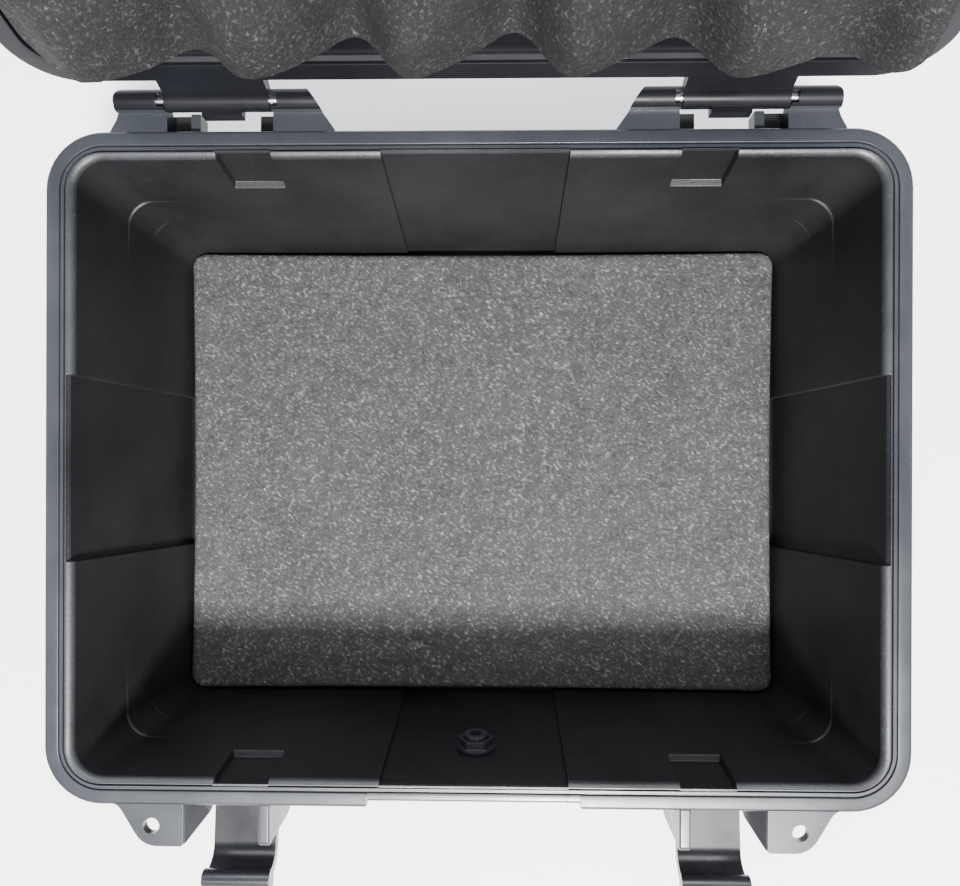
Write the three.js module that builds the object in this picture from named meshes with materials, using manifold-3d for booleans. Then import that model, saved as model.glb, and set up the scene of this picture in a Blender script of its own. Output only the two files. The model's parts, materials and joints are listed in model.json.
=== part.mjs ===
// A small hard equipment case, standing open: a deep base, a foam-lined lid held by two
// hinges, two snap-over latches, a folding carry handle and a pressure valve.
// Millimetres, +Z up. The origin is on the floor under the middle of the base; +X is the
// right-hand side seen from the front, and +Y points to the hinges.
import * as THREE from 'three';
import { mergeVertices } from 'three/addons/utils/BufferGeometryUtils.js';
import Module from 'manifold-3d';

const wasm = await Module();
wasm.setup();

// ---------------------------------------------------------------- driving dimensions
const RIM_WIDTH = 340;            // outside of the rim flange, left to right
const RIM_DEPTH = 265.8;          // outside of the rim flange, front to back
const RIM_RADIUS = 23;            // its outer corners
const RIM_Z = 104;                // top face of the base's flange
const LID_HEIGHT = 46;            // flange face to the top of the lid
const PARTING_GAP = 0.5;          // between the two flanges when the case is shut
const LID_OPEN = 105;             // degrees from shut to the lid's open stop
const LATCH_OPEN = 85;            // degrees from shut to the latch's open stop

const WALL = 3.4;                 // moulded wall
const FOOT_HEIGHT = 2;
const FLOOR_Z = 6;                // top of the moulded floor
const FLOOR_HALF = [144, 109];    // half width and half depth of the cavity at the floor
const MOUTH_HALF = [157.9, 121.7];    // the same at the rim
const CAVITY_RADIUS = 8;          // cavity corners at the floor
const MOUTH_RADIUS = 12;          // cavity corners at the rim

const FLANGE_DROP = 13;           // height of the flange's outer face
const FLANGE_PLATE = 4.5;         // thickness of its top plate
const LIP_IN = 8.7;               // sealing lip's outer side, measured in from the flange's edge
const LIP_HEIGHT = 1.5;
const RIDGE_IN = [6.3, 7.9];      // low ridge outside the lip
const RIDGE_HEIGHT = 0.3;         // less than the parting gap

const BAY_HALF = 36.8;            // half width of the shallow bay in each wall
const BAY_DEPTH = 2;
const NOTCH_X = 91.2;             // centre of each rim notch
const NOTCH_HALF = 10.7;
const NOTCH_DEPTH = 2.6;
const NOTCH_FLOOR_Z = RIM_Z - 24;
const CORNER_LEDGE_Z = RIM_Z - 36;
const LEDGE_IN = 2.4;             // how far the corners stand in below that ledge
const LEDGE_FROM = [126, 88];     // where the corner ledges begin, from the middle of the walls
const PANEL_HALF = 42;            // half width of the raised panel outside each wall
const PANEL_LOW = 12;             // its lower edge
const BUMPER_FROM = [118, 84];    // where the corner bumpers outside begin
const BUMPER_OUT = 2.4;
const BOSS_X = [77, 106];         // bosses outside the walls that back the rim notches
const FAR = 200;                  // beyond every outer surface

const HINGE_Y = 144;              // lid hinge axis
const HINGE_Z = RIM_Z + 1;
const BARREL_R = 4.2;
const HINGE_PIN_R = 2;

const LATCH_X = 99.4;             // middle of each latch
const LATCH_PIVOT = [-137, RIM_Z - 27];    // Y, Z of the latch pin
const LATCH_PIN_R = 1.9;
const EAR_HALF_GAP = 14.6;        // between the ears on both sides of a latch
const EAR_THICK = 4.5;
const EAR_FRONT = -149;
const STRAP_HALF = 13.4;
const HOOK_HALF = 14.2;
const HOOK_R = 3.8;
const HOOK_AT = [3, 34.5];        // hook bar's centre from the latch pin, latch shut

const PADLOCK_HOLE = [127, -141];    // distance from the middle, and Y
const PADLOCK_HOLE_R = 3.15;
const PADLOCK_PLATE = 4;

const HANDLE_PIVOT = [-129.5, RIM_Z - 20];
const HANDLE_ARM_X = [46.3, 55.6];
const HANDLE_LUG_X = [56, 62.5];
const HANDLE_PIN_R = 2;
const GRIP_Z = 47;
const GRIP_Y = -131;

const VALVE_Z = RIM_Z - 33;

const PAD_SIZE = [285, 215, 9.7];
const PAD_RADIUS = 6;

const CLEAR = 0.35;               // all-round gap between pieces that touch
const BORE_GAP = 0.35;            // radial gap of the pins in their bores
const ROUND_STEPS = 5;            // segments in a quarter circle of a large corner
const PIN_SIDES = 16;

// ---------------------------------------------------------------- solids
const solidOf = (geometry) => {
  const bare = geometry.clone();
  bare.deleteAttribute('normal');
  bare.deleteAttribute('uv');
  const merged = mergeVertices(bare, 1e-4);
  const vertProperties = new Float32Array(merged.attributes.position.array);
  const triVerts = new Uint32Array(merged.index.array);
  return new wasm.Manifold(new wasm.Mesh({ numProp: 3, vertProperties, triVerts }));
};

const geometryOf = (solid) => {
  const mesh = solid.getMesh();
  const geometry = new THREE.BufferGeometry();
  geometry.setAttribute('position', new THREE.BufferAttribute(mesh.vertProperties, 3));
  geometry.setIndex(new THREE.BufferAttribute(mesh.triVerts, 1));
  return geometry;
};

const join = (...solids) => solids.flat().reduce((all, next) => all.add(next));
const cut = (solid, ...tools) => tools.flat().reduce((left, tool) => left.subtract(tool), solid);

// a solid and its mirror image on the left-hand side
const mirrored = (solid) => [solid, solid.mirror([1, 0, 0])];

// a box from its low and high corners
const box = ([x0, y0, z0], [x1, y1, z1]) => {
  const geometry = new THREE.BoxGeometry(x1 - x0, y1 - y0, z1 - z0);
  return solidOf(geometry.translate((x0 + x1) / 2, (y0 + y1) / 2, (z0 + z1) / 2));
};

// a flat outline in X and Y, raised from z0 to z1
const raised = (shape, z0, z1, curveSegments = ROUND_STEPS) => {
  const settings = { depth: z1 - z0, bevelEnabled: false, curveSegments };
  return solidOf(new THREE.ExtrudeGeometry(shape, settings).translate(0, 0, z0));
};

// a side outline in Y and Z, carried across from x0 to x1
const across = (shape, x0, x1, curveSegments = ROUND_STEPS) => {
  const settings = { depth: x1 - x0, bevelEnabled: false, curveSegments };
  const geometry = new THREE.ExtrudeGeometry(shape, settings);
  const turn = new THREE.Matrix4().makeBasis(
    new THREE.Vector3(0, 1, 0), new THREE.Vector3(0, 0, 1), new THREE.Vector3(1, 0, 0));
  return solidOf(geometry.applyMatrix4(turn).translate(x0, 0, 0));
};

// a round bar along X
const barX = (radius, x0, x1, [y, z], sides = PIN_SIDES) => {
  const geometry = new THREE.CylinderGeometry(radius, radius, x1 - x0, sides);
  return solidOf(geometry.rotateZ(Math.PI / 2).translate((x0 + x1) / 2, y, z));
};

// a round bar along Z
const barZ = (radius, z0, z1, [x, y] = [0, 0], sides = PIN_SIDES) => {
  const geometry = new THREE.CylinderGeometry(radius, radius, z1 - z0, sides);
  return solidOf(geometry.rotateX(Math.PI / 2).translate(x, y, (z0 + z1) / 2));
};

// a ring with a rectangular section, its axis along Z
const ring = (inner, outer, z0, z1, sides = PIN_SIDES) => cut(barZ(outer, z0, z1, [0, 0], sides),
  barZ(inner, z0 - 1, z1 + 1, [0, 0], sides));

const outline = (...points) => new THREE.Shape(points.map(([a, b]) => new THREE.Vector2(a, b)));

// an outline whose corners are rounded; each point is [a, b, corner radius]
const softOutline = (...points) => {
  const shape = new THREE.Shape();
  points.forEach(([a, b, radius = 0], i) => {
    const here = new THREE.Vector2(a, b);
    const before = new THREE.Vector2(...points[(i + points.length - 1) % points.length].slice(0, 2));
    const after = new THREE.Vector2(...points[(i + 1) % points.length].slice(0, 2));
    const from = here.clone().add(before.sub(here).setLength(radius || 1e-9));
    const to = here.clone().add(after.sub(here).setLength(radius || 1e-9));
    if (i === 0) shape.moveTo(radius ? from.x : a, radius ? from.y : b);
    else shape.lineTo(radius ? from.x : a, radius ? from.y : b);
    if (radius) shape.quadraticCurveTo(a, b, to.x, to.y);
  });
  return shape;
};

// a block whose plan is a rounded rectangle that changes size evenly from its lower to its
// upper face; each face is { half: [x, y], radius, z }
const draftedBlock = (low, high) => {
  const [x, y] = low.half;
  const r = low.radius;
  const shape = new THREE.Shape();
  shape.moveTo(x, -y + r);
  shape.lineTo(x, y - r);
  shape.absarc(x - r, y - r, r, 0, Math.PI / 2);
  shape.lineTo(-x + r, y);
  shape.absarc(-x + r, y - r, r, Math.PI / 2, Math.PI);
  shape.lineTo(-x, -y + r);
  shape.absarc(-x + r, -y + r, r, Math.PI, Math.PI * 1.5);
  shape.lineTo(x - r, -y);
  shape.absarc(x - r, -y + r, r, Math.PI * 1.5, Math.PI * 2);
  const settings = { depth: 1, bevelEnabled: false, curveSegments: ROUND_STEPS };
  const geometry = new THREE.ExtrudeGeometry(shape, settings);
  const place = geometry.attributes.position;
  const moved = (value, from, to) => {
    const centre = Math.abs(value) - (from - r);
    return Math.sign(value) * (to - high.radius + centre * high.radius / r);
  };
  for (let i = 0; i < place.count; i += 1) {
    const upper = place.getZ(i) > 0.5;
    if (upper) {
      place.setX(i, moved(place.getX(i), x, high.half[0]));
      place.setY(i, moved(place.getY(i), y, high.half[1]));
    }
    place.setZ(i, upper ? high.z : low.z);
  }
  return solidOf(geometry);
};

// the flange's plan, measured in from its edge
const rimBlock = (inset, z0, z1, endInset = inset) => {
  const face = (from, z) => ({
    half: [RIM_WIDTH / 2 - from, RIM_DEPTH / 2 - from], radius: RIM_RADIUS - from, z });
  return draftedBlock(face(inset, z0), face(endInset, z1));
};
const rimRing = (outerIn, innerIn, z0, z1) => cut(rimBlock(outerIn, z0, z1),
  rimBlock(innerIn, z0 - 1, z1 + 1));

// the cavity's drafted walls, grown outwards by some distance, between two heights
const wallFace = (grow, z, softer = 0) => {
  const t = (z - FLOOR_Z) / (RIM_Z - FLOOR_Z);
  const half = FLOOR_HALF.map((low, axis) => low + (MOUTH_HALF[axis] - low) * t + grow);
  return { half, radius: CAVITY_RADIUS + (MOUTH_RADIUS - CAVITY_RADIUS) * t + grow + softer, z };
};
const wallBlock = (grow, z0, z1, softer = 0) => draftedBlock(
  wallFace(grow, z0, softer), wallFace(grow, z1, softer));

// the bands of the walls within some distance of the middle of each side
const crossBands = (half, z0, z1) => join(
  box([-half, -FAR, z0], [half, FAR, z1]), box([-FAR, -half, z0], [FAR, half, z1]));

// the four corner regions outside given distances
const cornerRegions = (fromX, fromY, z0, z1) => cut(
  box([-FAR, -FAR, z0], [FAR, FAR, z1]),
  box([-fromX, -FAR - 1, z0 - 1], [fromX, FAR + 1, z1 + 1]),
  box([-FAR - 1, -fromY, z0 - 1], [FAR + 1, fromY, z1 + 1]));

// ---------------------------------------------------------------- base
const FLANGE_LOW = RIM_Z - FLANGE_DROP;
const REAR_EDGE = RIM_DEPTH / 2;

const baseBody = () => {
  const draftTop = RIM_Z - FLANGE_PLATE + 1;
  const chamfer = 2.5;
  const edge = 0.8;
  const skirt = 3;
  const foot = wallFace(WALL - chamfer, FOOT_HEIGHT);
  const shell = join(
    draftedBlock(foot, wallFace(WALL, FOOT_HEIGHT + chamfer)),
    wallBlock(WALL, FOOT_HEIGHT + chamfer, draftTop),
    wallBlock(WALL + BAY_DEPTH, PANEL_LOW, draftTop).intersect(crossBands(PANEL_HALF, 0, FAR)),
    wallBlock(WALL + BUMPER_OUT, FLOOR_Z, FLANGE_LOW + 1)
      .intersect(cornerRegions(...BUMPER_FROM, 0, FAR)),
    wallBlock(WALL + NOTCH_DEPTH, NOTCH_FLOOR_Z - 10, draftTop).intersect(join(
      mirrored(box([BOSS_X[0], -FAR, 0], [BOSS_X[1], FAR, FAR])))));
  const flange = join(
    rimBlock(0, RIM_Z - FLANGE_PLATE, RIM_Z - edge),
    rimBlock(0, RIM_Z - edge, RIM_Z, edge),
    rimRing(0, skirt, FLANGE_LOW, RIM_Z - FLANGE_PLATE));
  return join(shell, flange);
};

const rimDetails = () => {
  const edge = 0.5;
  const lipTop = RIM_Z + LIP_HEIGHT;
  return join(
    rimRing(RIDGE_IN[0], RIDGE_IN[1], RIM_Z - 1, RIM_Z + RIDGE_HEIGHT),
    rimBlock(LIP_IN, RIM_Z - 1, lipTop - edge),
    rimBlock(LIP_IN, lipTop - edge, lipTop, LIP_IN + edge));
};

// four corner feet, and the flat skid panel between them that the origin lies on
const FOOT_AT = [124, 92];
const FOOT_HALF = [16, 12];
const SKID_HALF = [60, 45];
const atFeet = (solid) => [-1, 1].flatMap((x) => [-1, 1].map((y) => (
  solid.translate([x * FOOT_AT[0], y * FOOT_AT[1], 0]))));
const feet = () => {
  const block = (half, radius) => draftedBlock(
    { half, radius, z: 0 },
    { half: half.map((size) => size + 1), radius, z: FOOT_HEIGHT + 0.5 });
  return join(block(SKID_HALF, 8), atFeet(block(FOOT_HALF, 5)));
};

const cavity = () => {
  const above = RIM_Z + 4;
  const notches = join(mirrored(box(
    [NOTCH_X - NOTCH_HALF, -FAR, NOTCH_FLOOR_Z], [NOTCH_X + NOTCH_HALF, FAR, FAR])));
  const space = join(
    wallBlock(0, FLOOR_Z, above),
    wallBlock(BAY_DEPTH, FLOOR_Z, above).intersect(crossBands(BAY_HALF, FLOOR_Z, FAR)),
    wallBlock(NOTCH_DEPTH, NOTCH_FLOOR_Z, above).intersect(notches));
  const softerCorner = 4;
  const low = wallFace(-0.1, FLOOR_Z);
  const high = wallFace(-LEDGE_IN, CORNER_LEDGE_Z, softerCorner);
  const cornerFill = cut(
    cornerRegions(...LEDGE_FROM, FLOOR_Z - 1, CORNER_LEDGE_Z), draftedBlock(low, high));
  return cut(space, cornerFill);
};

// the handle's finger room: the flange's front edge steps back in the middle
const FRONT_STEP = 2.4;
const frontStep = (body) => {
  const edge = -REAR_EDGE + FRONT_STEP;
  const skirtHalf = PANEL_HALF + 3;
  const away = box([-PANEL_HALF, -FAR, FLANGE_LOW - 1], [PANEL_HALF, edge, FAR]);
  const skirt = box([-skirtHalf, edge, FLANGE_LOW], [skirtHalf, edge + 3, RIM_Z - 2]);
  return join(cut(body, away), skirt);
};

// both lugs of one hinge, right-hand side: the outer one has a round corner, and the inner
// one slants out to the rim
const HINGE_OUTER = [121.6, 140.8];
const HINGE_INNER = [66, 79.6];
const hingeLugs = () => {
  const tip = HINGE_Y + BARREL_R + 0.3;
  const outer = softOutline([HINGE_OUTER[0], REAR_EDGE - 4], [HINGE_OUTER[0] + 22.6, REAR_EDGE - 4],
    [HINGE_OUTER[0] + 22.6, REAR_EDGE + 0.5, 1], [HINGE_OUTER[1], REAR_EDGE + 6, 4],
    [HINGE_OUTER[1], tip, 6], [HINGE_OUTER[0], tip]);
  const inner = softOutline([HINGE_INNER[0] - 11, REAR_EDGE - 4], [HINGE_INNER[1], REAR_EDGE - 4],
    [HINGE_INNER[1], tip], [HINGE_INNER[0], tip, 1], [HINGE_INNER[0] - 11, REAR_EDGE, 1]);
  const web = outline([REAR_EDGE - 4, FLANGE_LOW + 1], [REAR_EDGE + 7, FLANGE_LOW + 4],
    [HINGE_Y + 3.4, HINGE_Z - 2.4], [HINGE_Y, HINGE_Z + 1], [HINGE_Y - 3.6, RIM_Z - 0.6],
    [REAR_EDGE - 4, RIM_Z - 0.6]);
  const bracket = join(across(web, 50, 150), barX(BARREL_R, 50, 150, [HINGE_Y, HINGE_Z], 24));
  return bracket.intersect(join(raised(outer, 80, 120), raised(inner, 80, 120)));
};

// low webs that tie the rim to the bracket between the lugs, open in the middle
const hingeWebs = () => join(
  box([112.5, REAR_EDGE - 3, FLANGE_LOW], [122.5, REAR_EDGE + 6, FLANGE_LOW + 3]),
  box([107.6, REAR_EDGE - 3, FLANGE_LOW], [112.6, REAR_EDGE + 5, FLANGE_LOW + 8]),
  box([78.6, REAR_EDGE - 3, FLANGE_LOW], [85.5, REAR_EDGE + 6, FLANGE_LOW + 3]));

// one ear on both sides of a latch
const earPair = (side) => join([LATCH_X - EAR_HALF_GAP - EAR_THICK, LATCH_X + EAR_HALF_GAP]
  .map((x) => across(side, x, x + EAR_THICK, 3)));

const latchEars = () => {
  const top = RIM_Z;
  return earPair(softOutline([-REAR_EDGE + 12, top - 6], [-REAR_EDGE + 12, top - 40],
    [-REAR_EDGE + 8, top - 42], [EAR_FRONT, top - 30, 5], [EAR_FRONT, top, 1.5],
    [-REAR_EDGE + 1, top], [-REAR_EDGE + 1, top - 6]));
};

// the plan of the padlock plate beside a latch, right-hand side
const padlockPlan = () => {
  const inside = LATCH_X + EAR_HALF_GAP;
  return softOutline([inside, -REAR_EDGE + 3], [inside, EAR_FRONT, 1.5], [130.5, EAR_FRONT, 6],
    [140.2, -REAR_EDGE, 1.5], [143, -REAR_EDGE + 3]);
};
const padlockPlate = (z0) => cut(
  raised(padlockPlan(), z0, z0 + PADLOCK_PLATE, 4),
  barZ(PADLOCK_HOLE_R, z0 - 1, z0 + PADLOCK_PLATE + 1, PADLOCK_HOLE));

const handleLug = () => {
  const [y, z] = HANDLE_PIVOT;
  const side = softOutline([y + 10.5, z - 12], [y - 5.2, z - 3, 3], [y - 5.2, z + 5.2, 4],
    [y + 10.5, z + 5.2]);
  return across(side, HANDLE_LUG_X[0], HANDLE_LUG_X[1], 5);
};

const baseShell = () => {
  const brackets = join(hingeLugs(), hingeWebs(), latchEars(), handleLug(),
    padlockPlate(RIM_Z - PADLOCK_PLATE));
  const hingeBore = barX(HINGE_PIN_R + BORE_GAP, 50, 137, [HINGE_Y, HINGE_Z]);
  const latchBore = barX(LATCH_PIN_R + BORE_GAP, 70, 117.2, LATCH_PIVOT);
  const handleBore = barX(HANDLE_PIN_R + BORE_GAP, 50, 61, HANDLE_PIVOT);
  const valveBore = place(barZ(VALVE_TUBE_R + 0.3, -12, 12), valveMatrix());
  const shell = join(frontStep(baseBody()), rimDetails());
  return cut(join(shell, mirrored(brackets), feet()), cavity(),
    mirrored(join(hingeBore, latchBore, handleBore)), valveBore);
};

// ---------------------------------------------------------------- lid, in its shut place
const LID_LOW = RIM_Z + PARTING_GAP;
const LID_FLANGE_TOP = RIM_Z + 9;
const LID_TOP = RIM_Z + LID_HEIGHT;
const LID_ROOF = LID_TOP - 3.2;
const LID_WALL_IN = 11.9;         // the lid's outer wall, measured in from the flange's edge
const LID_DRAFT = 4;              // how far that wall leans in over its height
const CHANNEL_IN = [8.3, 12.6];
const CHANNEL_TOP = RIM_Z + 5;
const LID_MOUTH_IN = 15;
const LID_CAVITY_TOP_IN = 19;
const LATCH_LEDGE = 2.9;          // thickness of the ledge that the hook bar snaps over

const lidShell = () => {
  const rounding = 4;
  const shell = join(
    rimBlock(0, LID_LOW, LID_FLANGE_TOP - 1.2),
    rimBlock(0, LID_FLANGE_TOP - 1.2, LID_FLANGE_TOP, 1.2),
    rimBlock(LID_WALL_IN, LID_FLANGE_TOP, LID_TOP - rounding, LID_WALL_IN + LID_DRAFT),
    rimBlock(LID_WALL_IN + LID_DRAFT, LID_TOP - rounding, LID_TOP - 1, LID_WALL_IN + LID_DRAFT + 1.8),
    rimBlock(LID_WALL_IN + LID_DRAFT + 1.8, LID_TOP - 1, LID_TOP, LID_WALL_IN + LID_DRAFT + 3.8));
  const bumperIn = LID_WALL_IN - BUMPER_OUT;
  const bumpers = rimBlock(bumperIn, LID_FLANGE_TOP - 1, LID_TOP - rounding - 1,
    bumperIn + LID_DRAFT).intersect(cornerRegions(...BUMPER_FROM, 0, FAR));
  const panels = rimBlock(LID_WALL_IN - BAY_DEPTH, LID_FLANGE_TOP - 1, LID_TOP - 12,
    LID_WALL_IN + LID_DRAFT - BAY_DEPTH - 1).intersect(crossBands(PANEL_HALF, 0, FAR));
  const hollow = rimBlock(LID_MOUTH_IN, LID_LOW - 1, LID_ROOF, LID_CAVITY_TOP_IN);
  const channel = rimRing(CHANNEL_IN[0], CHANNEL_IN[1], LID_LOW - 1, CHANNEL_TOP);
  const recess = (half, radius, depth) => draftedBlock(
    { half, radius, z: LID_TOP - depth },
    { half: half.map((size) => size + 1), radius, z: LID_TOP + 1 });
  const pockets = atFeet(recess(FOOT_HALF.map((size) => size + 1.5), 5.5, 1.6));
  const panel = recess([84, 96], 12, 0.8);
  const hookRoom = box(
    [LATCH_X - HOOK_HALF - 0.8, -REAR_EDGE - 1, LID_LOW + LATCH_LEDGE],
    [LATCH_X + HOOK_HALF + 0.8, -REAR_EDGE + 3.6, LID_FLANGE_TOP + 5]);
  const ledge = across(softOutline([-REAR_EDGE + 2, LID_LOW], [-REAR_EDGE - 5, LID_LOW, 1],
    [-REAR_EDGE - 5, LID_LOW + LATCH_LEDGE, 1], [-REAR_EDGE + 2, LID_LOW + LATCH_LEDGE]),
  LATCH_X - STRAP_HALF, LATCH_X + STRAP_HALF, 3);
  const ears = earPair(softOutline([-REAR_EDGE + 2, LID_LOW], [EAR_FRONT, LID_LOW, 1.5],
    [EAR_FRONT, LID_LOW + 5, 3], [-REAR_EDGE - 2, LID_FLANGE_TOP + 2, 3],
    [-REAR_EDGE + 2, LID_FLANGE_TOP - 1]));
  const front = join(ledge, ears, padlockPlate(LID_LOW));
  const handleStep = box([-PANEL_HALF, -FAR, LID_LOW - 1],
    [PANEL_HALF, -REAR_EDGE + FRONT_STEP, LID_FLANGE_TOP + 1]);
  const body = cut(join(shell, bumpers, panels), mirrored(hookRoom), handleStep);
  return cut(join(body, mirrored(join(front, lidKnuckle()))), hollow, channel, pockets, panel,
    mirrored(barX(HINGE_PIN_R + BORE_GAP, 75, 125, [HINGE_Y, HINGE_Z])));
};

// the lid's knuckle between the lugs, with the stop tab that meets the rim when it is open
const KNUCKLE_X = [HINGE_INNER[1] + 0.5, HINGE_OUTER[0] - 0.5];
const STOP_TAB_X = [91, 106.8];
const lidKnuckle = () => {
  const leaf = outline([REAR_EDGE - 3, LID_LOW + 0.4], [HINGE_Y - 3.4, LID_LOW + 0.4],
    [HINGE_Y + 1.5, HINGE_Z + 2.6], [HINGE_Y + 1.2, HINGE_Z + BARREL_R - 0.3],
    [REAR_EDGE - 3, HINGE_Z + BARREL_R + 2.4]);
  const barrel = barX(BARREL_R, KNUCKLE_X[0], KNUCKLE_X[1], [HINGE_Y, HINGE_Z], 24);
  const tab = lidPlaced(box([STOP_TAB_X[0], REAR_EDGE + CLEAR + 2.6, RIM_Z - 2.4],
    [STOP_TAB_X[1], HINGE_Y - 2, HINGE_Z + 1.6]), 1);
  return join(across(leaf, KNUCKLE_X[0], KNUCKLE_X[1]), barrel, tab);
};

// turns a solid about the hinge axis; way +1 takes the open lid's place to the shut place
function lidPlaced(solid, way) {
  return solid.translate([0, -HINGE_Y, -HINGE_Z]).rotate([way * LID_OPEN, 0, 0])
    .translate([0, HINGE_Y, HINGE_Z]);
}

const lidGasket = () => rimRing(CHANNEL_IN[0] + CLEAR, CHANNEL_IN[1] - CLEAR,
  RIM_Z + LIP_HEIGHT + 0.4, CHANNEL_TOP - CLEAR);

// the convoluted foam: a sheet against the roof with staggered rows of bumps that reach
// past the parting plane into the base
const FOAM_SHEET = 10;
const FOAM_PITCH = [57.9, 54];
const FOAM_FIRST_X = -21;         // one bump of the row beside the hinges
const FOAM_ROWS_Y = [105, 51, -3, -57, -111];
const FOAM_TIP_Z = RIM_Z - 15.5;
const lidFoam = () => {
  const face = (from, z) => ({
    half: [RIM_WIDTH / 2 - from, RIM_DEPTH / 2 - from], radius: 7, z });
  const back = LID_ROOF - CLEAR;
  const room = draftedBlock(
    face(LID_MOUTH_IN + 0.6, FOAM_TIP_Z), face(LID_CAVITY_TOP_IN + 0.6, back));
  const sheet = box([-FAR, -FAR, back - FOAM_SHEET], [FAR, FAR, back + 1]);
  const height = back - FOAM_SHEET - FOAM_TIP_Z + 1;
  const cone = solidOf(new THREE.CylinderGeometry(20, 9, height, 8).rotateX(Math.PI / 2)
    .translate(0, 0, FOAM_TIP_Z + height / 2));
  const bumps = FOAM_ROWS_Y.flatMap((y, row) => {
    const shift = row % 2 ? FOAM_PITCH[0] / 2 : 0;
    return [-3, -2, -1, 0, 1, 2, 3].map((i) => FOAM_FIRST_X + shift + i * FOAM_PITCH[0])
      .filter((x) => Math.abs(x) < 165)
      .map((x) => cone.translate([x, y, 0]));
  });
  return join(sheet, bumps).intersect(room);
};

// ---------------------------------------------------------------- latches
// the latch's side outline from its pin, shut: Y outwards is negative
const latchBody = () => {
  const [hookY, hookZ] = HOOK_AT;
  const strap = new THREE.Shape();
  strap.moveTo(0, -4.4);
  strap.quadraticCurveTo(-11, -6, -11, 4);
  strap.lineTo(-11, 24);
  strap.quadraticCurveTo(-10.5, 33, hookY - 2, hookZ + 3.2);
  strap.lineTo(hookY, hookZ - 2);
  strap.quadraticCurveTo(-7, 31, -7, 23);
  strap.lineTo(-7, 5);
  strap.quadraticCurveTo(-6.5, 2, -2, 3.6);
  const barrel = barX(4.4, -STRAP_HALF, STRAP_HALF, [0, 0]);
  const hook = barX(HOOK_R, -HOOK_HALF, HOOK_HALF, HOOK_AT);
  const tabSide = softOutline([-6.5, 28.5], [-9.2, 31.5], [-14.5, 42, 1], [-12, 43.6, 1],
    [-4.8, 36.2], [-2.2, 34]);
  const tab = across(tabSide, -11, 11, 3);
  return cut(join(across(strap, -STRAP_HALF, STRAP_HALF), barrel, hook, tab),
    barX(LATCH_PIN_R + BORE_GAP, -20, 20, [0, 0]));
};

const LATCH_PIN_X = [-EAR_HALF_GAP - EAR_THICK + 0.4, EAR_HALF_GAP + EAR_THICK - 2];

// ---------------------------------------------------------------- handle
const HANDLE_CORE_R = 5;
const GRIP_HALF = 43.5;
const handleFrame = () => {
  const [y, z] = HANDLE_PIVOT;
  const eye = 4.6;
  const foot = 6.4;
  const side = softOutline([y - eye, z + eye, 4], [y - eye, z - 14, 10],
    [GRIP_Y - foot, GRIP_Z + 8, 4], [GRIP_Y - foot, GRIP_Z - foot, 5],
    [GRIP_Y + foot, GRIP_Z - foot, 5], [GRIP_Y + foot, GRIP_Z + 8, 6],
    [y + eye, z - 10, 8], [y + eye, z + eye, 4]);
  const arms = mirrored(across(side, HANDLE_ARM_X[0], HANDLE_ARM_X[1], 3));
  const coreEnd = HANDLE_ARM_X[0] + 2;
  const core = barX(HANDLE_CORE_R, -coreEnd, coreEnd, [GRIP_Y, GRIP_Z]);
  return cut(join(arms, core), mirrored(barX(HANDLE_PIN_R + BORE_GAP, 48, 70, HANDLE_PIVOT)));
};

const handleGrip = () => {
  const oval = new THREE.Shape();
  oval.absellipse(GRIP_Y, GRIP_Z, 7.2, 8.6, 0, Math.PI * 2);
  return cut(across(oval, -GRIP_HALF, GRIP_HALF, 8),
    barX(HANDLE_CORE_R + CLEAR, -GRIP_HALF - 1, GRIP_HALF + 1, [GRIP_Y, GRIP_Z]));
};

const HANDLE_PIN_X = [48.4, 60.6];
const HINGE_PIN_X = [64.4, 136.4];
// a pin on the right-hand side, or its mirror image
const sidePin = (way, radius, [x0, x1], centre) => {
  const pin = barX(radius, x0, x1, centre);
  return way > 0 ? pin : pin.mirror([1, 0, 0]);
};

// ---------------------------------------------------------------- valve, about its own axis
// the axis stands square to the sloping front wall and points outwards; z = 0 is mid-wall
const VALVE_TUBE_R = 5;
const SEAL_Z = [WALL / 2 + 0.3, WALL / 2 + 1.5];
const VALVE_FLANGE_Z = [SEAL_Z[1] + 0.3, SEAL_Z[1] + 2.1];
function valveMatrix() {
  const t = (VALVE_Z - FLOOR_Z) / (RIM_Z - FLOOR_Z);
  const slope = Math.atan2(MOUTH_HALF[1] - FLOOR_HALF[1], RIM_Z - FLOOR_Z);
  const y = -(FLOOR_HALF[1] + (MOUTH_HALF[1] - FLOOR_HALF[1]) * t + BAY_DEPTH + WALL / 2);
  return new THREE.Matrix4().makeRotationX(Math.PI / 2 + slope).setPosition(0, y, VALVE_Z);
}
function place(solid, matrix) {
  return solidOf(geometryOf(solid).applyMatrix4(matrix));
}

const VALVE_FLANGE_R = 8.6;
const VALVE_CAP_R = 9.8;
const VALVE_SIDES = 28;
const disc = (radius, z0, z1, sides = VALVE_SIDES) => barZ(radius, z0, z1, [0, 0], sides);

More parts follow.
